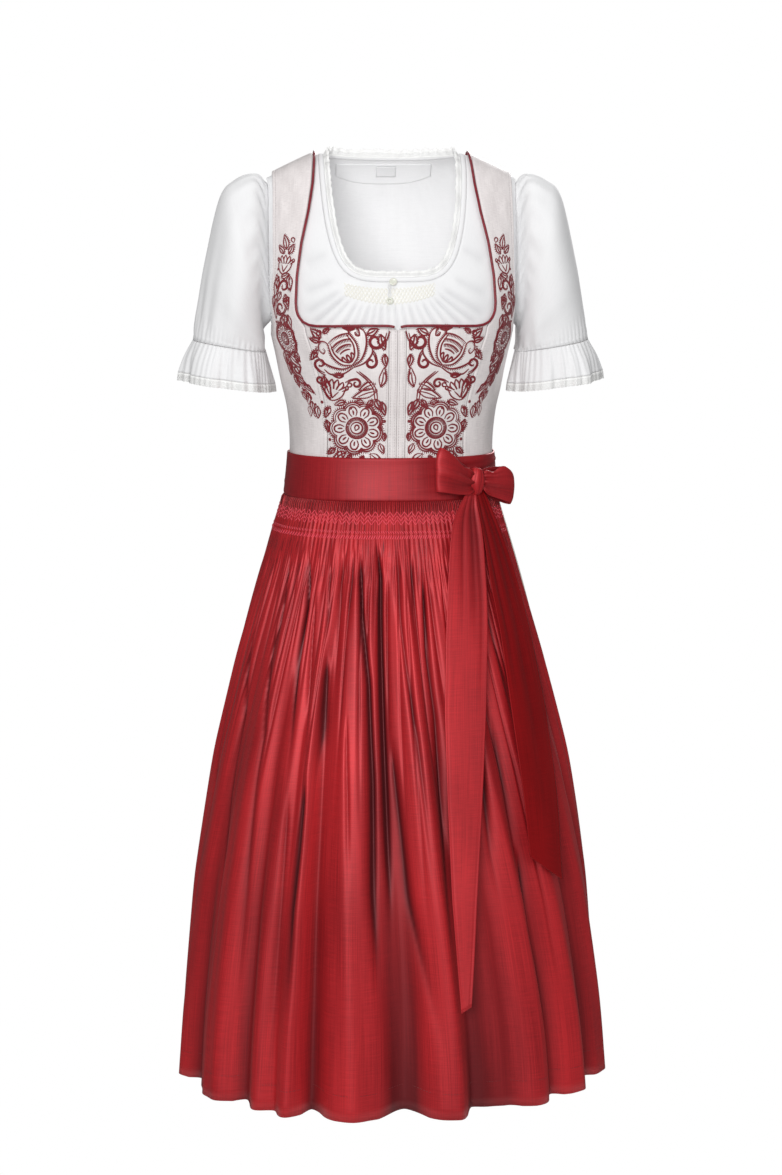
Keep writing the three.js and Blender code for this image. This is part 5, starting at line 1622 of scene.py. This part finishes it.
def bow_frame():
    """Place of the knot on the band, the way out of the band there, and the way across."""
    station = station_at(KNOT["z"])
    angle = angle_for_x(np.array([float(KNOT["x"])]), station)
    base = torso(angle, station, BAND_OFFSET)[0]
    normal = torso_normal(angle, np.array([station]))[0]
    across = np.cross(normal, (0, 0, 1))
    across /= np.linalg.norm(across)
    return base, normal, across if across[0] > 0 else -across


def loop_place(shape, frame_of_bow):
    """A loop: out along its front, round its far end and back behind, with painted shade in its creases, on
    its back layer and near the knot.
    """
    base, normal, across_way = frame_of_bow
    start = KNOT["half_width"] - 2.5
    tilt = math.tan(math.radians(shape["tilt"]))

    def place(across, down):
        turn = down * math.pi
        reach_share = np.sin(turn) ** 0.7
        front = np.cos(turn) > 0
        reach = start + (shape["length"] + 2.4) * reach_share
        depth = 10 + 6 * (0.4 + 0.6 * np.sin(turn)) * np.cos(turn) + 2 * np.sin(2 * turn)
        height = shape["root"] + (shape["end"] - shape["root"]) * reach_share**0.45
        side = 2 * across - 1
        pinch = (1 - reach_share) ** 0.6
        crease_and_shade = 1.7 * np.cos(side * 7.5 + 0.6) * pinch + 1.1 * np.cos(side * 13 + 1.0) * pinch**2
        crease_and_shade += 1.2 * np.cos(side * 3.4 - 0.7) * reach_share * (1 - reach_share) * 3
        belly = 2.2 * (1 - side**2) * np.sin(reach_share * math.pi) * np.where(front, 1, 0.3)
        depth = depth + crease_and_shade * np.where(front, 1, 0.6) + belly * np.where(front, 1, -1)
        cut = np.where(side > 0, shape["cuts"][0], shape["cuts"][1])
        reach = reach - cut * np.abs(side) ** 3.5 * reach_share**3
        mouth = 6 * np.exp(-(((reach_share - 0.3) / 0.18) ** 2)) * np.clip(side, 0, 1) ** 2 * front
        offset = side * height / 2 + tilt * reach_share * shape["length"] - mouth
        points = base + across_way * (shape["side"] * reach)[:, None] + normal * depth[:, None]
        points[:, 2] += offset
        # Painted shade: in the sunk creases, over the whole back layer and where the loop pinches at the knot
        return points, 0.16 * np.clip(-crease_and_shade, 0, 2) + 0.35 * (~front) + 0.25 * pinch**2

    return place


def knot_place(frame_of_bow):
    """The knot: a short roll of folded taffeta, its creases running over it from top to bottom, with painted
    shade in them.
    """
    base, normal, across_way = frame_of_bow

    def place(across, down):
        turn = across * 2 * math.pi
        fall = (down - 0.5) * math.pi
        waist = np.cos(fall)
        side = np.sin(turn)
        fold = 0.9 * np.abs(np.sin(turn * 3.5 + 0.9 * np.sin(fall))) ** 0.6 - 0.45
        swell = (waist**0.55) * (1 + 0.10 * fold)
        x = np.sign(side) * np.abs(side) ** 0.85 * KNOT["half_width"] * swell
        x *= 0.86 + 0.14 * np.cos(fall * 2) ** 2
        y = np.cos(turn) * KNOT["half_depth"] * swell
        z = -np.sin(fall) * KNOT["half_height"] * (0.98 - 0.05 * side)
        middle = base + normal * KNOT["half_depth"]
        points = middle + across_way * x[:, None] + normal * y[:, None]
        points[:, 2] += z
        # Painted shade in the sunk folds
        return points, np.clip(-fold, 0, 1) * 1.3

    return place


# Tails: z, x of the left and right edge, and how far each edge lies off the apron's surface
LONG_TAIL = [
    (-386, 77, 86, 9, 9), (-394, 71, 86, 9, 8.5), (-416, 58.5, 89, 13, 11), (-440, 55.5, 92.3, 12, 11),
    (-500, 52.5, 96.5, 8, 9), (-540, 51, 96.5, 6, 9), (-626, 48.5, 94, 5, 8), (-716, 50.5, 89.5, 4, 7),
    (-835, 55, 82, 4, 8), (-964, 65, 75.5, 4, 8),
]
SHORT_TAIL = [
    (-386, 85, 94, 8.5, 8), (-394, 87, 99, 8.5, 8), (-416, 91, 109, 8, 7), (-441, 95, 119.5, 8, 6),
    (-492, 102.5, 137, 7, 5), (-544, 113.5, 150.5, 5, 4), (-633, 126, 168, 4, 4), (-724, 138.5, 179.5, 4, 4),
    (-797, 146, 185.5, 4, 4),
]


# Creases of each tail: place across, depth, which also sets their painted shade, width, and the
# shares down where it starts to fade and is gone
TAIL_CREASES = {
    "bow_tail_long": (
        (0.40, 2.4, 0.09, 0.06, 0.3), (0.72, 4.2, 0.13, 0.04, 0.34), (0.88, 3.0, 0.07, 0.02, 0.5),
    ),
    "bow_tail_short": (
        (0.26, 3.0, 0.10, 0.2, 0.7), (0.6, 2.2, 0.16, 0.4, 1.0), (0.85, 2.0, 0.08, 0.1, 0.5),
    ),
}
TAILS = (("bow_tail_long", LONG_TAIL, -8), ("bow_tail_short", SHORT_TAIL, 34))
TAIL_CREST = 17


def tail_place(rows, slant, creases_of_tail):
    """A tail that hangs over the crests of the apron, its end cut on a slant, with painted shade in its
    creases.
    """
    table = np.array(rows, float)
    heights = table[::-1, 0]

    def place(across, down):
        z = table[0, 0] + (table[-1, 0] - table[0, 0]) * down
        left, right, left_lift, right_lift = (
            rounded(np.stack([table[:, 0], table[:, column]], -1), z, 4, 18) for column in (1, 2, 3, 4)
        )
        z = z - slant * across * smooth_share(0.9, 1.0, down)
        x = left + (right - left) * across
        crest = TAIL_CREST * fold_growth(z)
        half, front, _, power = skirt_section(z)
        half, front = half + crest, front + crest
        lift = left_lift + (right_lift - left_lift) * across + 1.2
        shade = 0 * z
        for centre, deep, width, start, end in creases_of_tail:
            fade = smooth_share(heights[-1] + 6, heights[-1] - 30, z) * (1 - smooth_share(start, end, down))
            valley = fade * np.exp(-(np.abs((across - centre) / width) ** 1.4))
            lift -= deep * valley
            # Painted shade grows with each crease's depth
            shade += 0.14 * deep * valley
        edge = np.minimum(across, 1 - across) * (right - left)
        lift -= 0.3 * np.exp(-(((edge - 2.4) / 0.7) ** 2))
        share = np.minimum(np.abs(x) / half, 0.999)
        along = (1 - share**power) ** (1 / power)
        surface = np.stack([x, -front * along, z], -1)
        outward = np.stack([share ** (power - 1) / half, -(along ** (power - 1)) / front, 0 * x], -1)
        outward /= np.linalg.norm(outward, axis=-1, keepdims=True)
        return surface + outward * lift[:, None], shade

    return place


# Buttons

# Half a section of each, its reach in shares of the radius and its height of the half height
BUTTON_PROFILE = [
    (0.0, 0.55), (0.35, 0.55), (0.55, 0.75), (0.8, 0.95), (0.97, 0.6), (1.0, 0.0), (0.94, -0.7),
    (0.7, -1.0), (0.0, -1.0),
]
RING_PROFILE = [
    (0.45, 0.0), (0.52, 0.7), (0.72, 1.0), (0.93, 0.6), (1.0, 0.0), (0.9, -0.7), (0.6, -0.9), (0.45, 0.0),
]
BUTTON_HALF_HEIGHT, BUTTON_WELD = 1.1, 1e-5


def button(name, x, z, radius, lift, ring):
    """A turned shell button with a sunk middle, or a ring, lying on the blouse."""
    station = station_at(np.array([float(z)]))
    angle = angle_for_x(np.array([float(x)]), station)
    centre = torso(angle, station, BLOUSE_OUTER + lift + BUTTON_HALF_HEIGHT)[0]
    normal = Vector(torso_normal(angle, station)[0])
    made = bmesh.new()
    profile = RING_PROFILE if ring else BUTTON_PROFILE
    thick = BUTTON_HALF_HEIGHT * MM
    corners = [made.verts.new((reach * radius * MM, 0, height * thick)) for reach, height in profile]
    edges = [made.edges.new(pair) for pair in zip(corners, corners[1:])]
    around = {"cent": (0, 0, 0), "axis": (0, 0, 1), "angle": 2 * math.pi, "steps": 40}
    bmesh.ops.spin(made, geom=corners + edges, use_merge=True, **around)
    bmesh.ops.remove_doubles(made, verts=made.verts, dist=BUTTON_WELD)
    bmesh.ops.recalc_face_normals(made, faces=made.faces)
    turn = Vector((0, 0, 1)).rotation_difference(normal).to_matrix().to_4x4()
    turn.translation = Vector(centre) * MM
    bmesh.ops.transform(made, matrix=turn, verts=made.verts)
    mesh = bpy.data.meshes.new(name)
    made.to_mesh(mesh)
    made.free()
    mesh.shade_smooth()
    piece = new_piece(name, mesh, FINISHES["shell"])
    smooth = piece.modifiers.new("smooth", "SUBSURF")
    smooth.levels = smooth.render_levels = 1
    return piece


# Making the pieces


# Columns, rows and wall of each sheet, the wall in millimetres
GRIDS = {
    "blouse_front": (320, 40, 1.0),
    "blouse_back": (160, 36, 1.0),
    "smocked_patch": (150, 36, 0.5),
    "neck_binding": (460, 8, 0.5),
    "neck_lace": (720, 8, 0.5),
    "neck_facing": (60, 24, 0.9),
    "neck_label": (16, 10, 0.5),
    "sleeve": (160, 52, 0.9),
    "sleeve_frill": (276, 18, 0.7),
    "cuff_lace": (504, 6, 0.5),
    "front_placket": (20, 60, 1.4),
    "front_centre": (84, 56, 1.4),
    "front_side": (56, 88, 1.4),
    "back_side": (50, 70, 1.4),
    "back_centre": (84, 64, 1.4),
    "piping": (240, 8, 0.4),
    "skirt_front": (220, 40, 1.0),
    "skirt_back": (340, 64, 1.0),
    "apron_panel": (600, 72, 1.0),
    "apron_band": (180, 26, 1.4),
    "bow_loop": (44, 64, 0.8),
    "bow_knot": (84, 36, 0.6),
    "bow_tail": (36, 110, 0.9),
}
HANDS = (("left", 1), ("right", -1))


def make_blouse():
    white = FINISHES["blouse_cotton"]
    front = grid_sheet("blouse_front_cloth", GRIDS["blouse_front"], blouse_panel(False), white)
    back = grid_sheet("blouse_back_cloth", GRIDS["blouse_back"], blouse_panel(True), white)
    patch = grid_sheet("smocked_patch", GRIDS["smocked_patch"], smock_patch, FINISHES["smock_cotton"])
    settle(patch, (), "gathered")
    settle(front, ["blouse_front"], "gathered")
    settle(back, ["blouse_back"], "hung")
    path = neck_path()
    binding = grid_sheet("neck_binding_cloth", GRIDS["neck_binding"], neck_binding(path), white, True)
    lace = grid_sheet("neck_lace_cloth", GRIDS["neck_lace"], neck_lace(path), FINISHES["neck_lace"], True)
    settle(binding, ["neck_binding"], "gathered")
    settle(lace, ["neck_lace"], "gathered")
    inside = back_patch(-7, 56, -11, -25, BLOUSE_INNER - 1.1, 10.0)
    facing = grid_sheet("neck_facing_cloth", GRIDS["neck_facing"], inside, white, outward=-1)
    bare = back_patch(-4, 11.5, -13, -25.5, BLOUSE_INNER - 2.6, 0.0)
    label = grid_sheet("neck_label_cloth", GRIDS["neck_label"], bare, FINISHES["label_satin"], outward=-1)
    settle(facing, ["back_neck_facing"], "laid")
    settle(label, ["neck_label"], "laid")
    for hand, side in HANDS:
        core = (side * SLEEVE_CORE, 0)
        arm = grid_sheet(f"sleeve_{hand}_cloth", GRIDS["sleeve"], sleeve(side), white, True, core)
        edge = grid_sheet(f"sleeve_frill_{hand}_cloth", GRIDS["sleeve_frill"], frill(side), white, True, core)
        trim = grid_sheet(
            f"cuff_lace_{hand}_cloth", GRIDS["cuff_lace"], cuff_lace(side), FINISHES["cuff_lace"], True, core
        )
        settle(arm, [f"sleeve_{hand}"], "gathered")
        settle(edge, [f"sleeve_frill_{hand}"], "gathered")
        settle(trim, [f"cuff_lace_{hand}"], "hung")


def make_buttons():
    """The two buttons, and the two narrow rolls of the slit between them."""
    top = button("button_top_shell", -4, -148, 4.5, 1.9, False)
    low = button("button_lower_shell", -8, -169, 4.0, 1.3, True)
    settle(top, ["button_top"])
    settle(low, ["button_lower"])
    rolls = []
    for aside in (-1.1, 1.1):
        z = np.linspace(-150, -166, 12)
        station = station_at(z)
        angle = angle_for_x(-8.2 + aside * (1 - 0.3 * np.linspace(0, 1, 12)), station)
        points = torso(angle, station, BLOUSE_OUTER + 0.9)
        rolls.append((points, torso_normal(angle, station), np.full(12, 1.5)))
    slit = stroke_mesh("slit_rolls", rolls, FINISHES["white_thread"])
    settle(slit)


def upright(x):
    """A straight edge: the same x at every height."""
    return lambda z: 0 * z + x


def make_bodice():
    weave, cord_cover, silk = FINISHES["bodice_weave"], FINISHES["piping"], FINISHES["embroidery"]
    half_gap = SEAM_GAP / 2
    for hand, side in HANDS:
        placket = front_panel(upright(half_gap), upright(PLACKET - half_gap), side, PLACKET_STITCHES)
        centre = front_panel(upright(PLACKET + half_gap), lambda z: inner_edge(z) - half_gap, side)
        flowers = flat_strokes(front_motifs(), side, FRONT_THREAD)
        flowers = stroke_mesh(f"front_embroidery_{hand}", flowers, silk)
        garland = garland_strokes(side_motifs(), side, SIDE_THREAD)
        garland = stroke_mesh(f"side_embroidery_{hand}", garland, silk)
        seams = stroke_mesh(f"bodice_stitches_{hand}", bodice_seams(side), FINISHES["seam_thread"])
        for piece in (flowers, garland):
            settle(piece)
        settle(seams)
        panels = (
            ("front_placket", placket, "blouse_front", []),
            ("front_centre", centre, "blouse_front", [flowers]),
            ("front_side", side_panel(side, False), "blouse_front", [garland, seams]),
            ("back_side", side_panel(side, True), "blouse_back", []),
        )
        for name, place, under, extras in panels:
            piece = grid_sheet(f"{name}_{hand}_cloth", GRIDS[name], place, weave)
            settle(piece, [f"{name}_{hand}"], "stretched")
        place = piping(piping_path(False), side, -1)
        cord = grid_sheet(f"piping_{hand}_cloth", GRIDS["piping"], place, cord_cover, True)
        settle(cord, [f"piping_{hand}"], "stretched")
    back = grid_sheet("back_centre_cloth", GRIDS["back_centre"], back_panel, weave)
    settle(back, ["back_centre"], "stretched")
    cord = grid_sheet("piping_back_cloth", GRIDS["piping"], piping(piping_path(True), 1, 1), cord_cover, True)
    settle(cord, ["piping_back"], "stretched")


def make_skirt():
    ivory, pressed = FINISHES["skirt_weave"], FINISHES["pressed_taffeta"]
    front = grid_sheet("skirt_front_cloth", GRIDS["skirt_front"], skirt_place(*SKIRT_FRONT_ENDS, True), ivory)
    back = grid_sheet("skirt_back_cloth", GRIDS["skirt_back"], skirt_place(*SKIRT_BACK_ENDS, False), ivory)
    settle(front, ["skirt_front"], "gathered")
    settle(back, ["skirt_back"], "gathered")
    smocking = stroke_mesh("apron_smocking", smocking_stitches(), FINISHES["smocking"])
    hem = stroke_mesh("apron_hem_stitches", hem_stitches(), FINISHES["hem_thread"])
    for piece in (smocking, hem):
        settle(piece)
    panel = grid_sheet("apron_panel_cloth", GRIDS["apron_panel"], apron_place, FINISHES["smocked_taffeta"])
    settle(panel, ["apron_panel"], "gathered")
    waistband = grid_sheet("apron_waistband_cloth", GRIDS["apron_band"], band(*WAISTBAND_ENDS, True), pressed)
    tie = grid_sheet("apron_tie_back_cloth", GRIDS["apron_band"], band(*TIE_ENDS, False), pressed)
    settle(waistband, ["apron_waistband"], "stretched")
    settle(tie, ["apron_tie_back"], "stretched")


def make_bow():
    shine = FINISHES["taffeta"]
    here = bow_frame()
    middle = (here[0] + here[1] * 10)[:2]
    for name, shape in LOOPS.items():
        place = loop_place(shape, here)
        loop = grid_sheet(f"{name}_cloth", GRIDS["bow_loop"], place, shine, core=middle, offset=0.0)
        settle(loop, [name], "folded")
    knot = grid_sheet("bow_knot_cloth", GRIDS["bow_knot"], knot_place(here), shine, True, middle)
    settle(knot, ["bow_knot"], "folded")
    for name, rows, slant in TAILS:
        # The short tail takes the darker copy with painted shade
        cloth = FINISHES["shaded_tail_taffeta"] if name == "bow_tail_short" else shine
        place = tail_place(rows, slant, TAIL_CREASES[name])
        tail = grid_sheet(f"{name}_cloth", GRIDS["bow_tail"], place, cloth)
        settle(tail, [name], "hung")


FLOOR_RADIUS, FLOOR_HEIGHT = 0.74, -1.52


def make_floor():
    made = bmesh.new()
    bmesh.ops.create_circle(made, cap_ends=True, segments=96, radius=FLOOR_RADIUS)
    bmesh.ops.translate(made, verts=made.verts, vec=(0, 0, FLOOR_HEIGHT))
    mesh = bpy.data.meshes.new("floor")
    made.to_mesh(mesh)
    made.free()
    new_piece("floor", mesh, FINISHES["floor"])


make_blouse()
make_buttons()
make_bodice()
make_skirt()
make_bow()
make_floor()
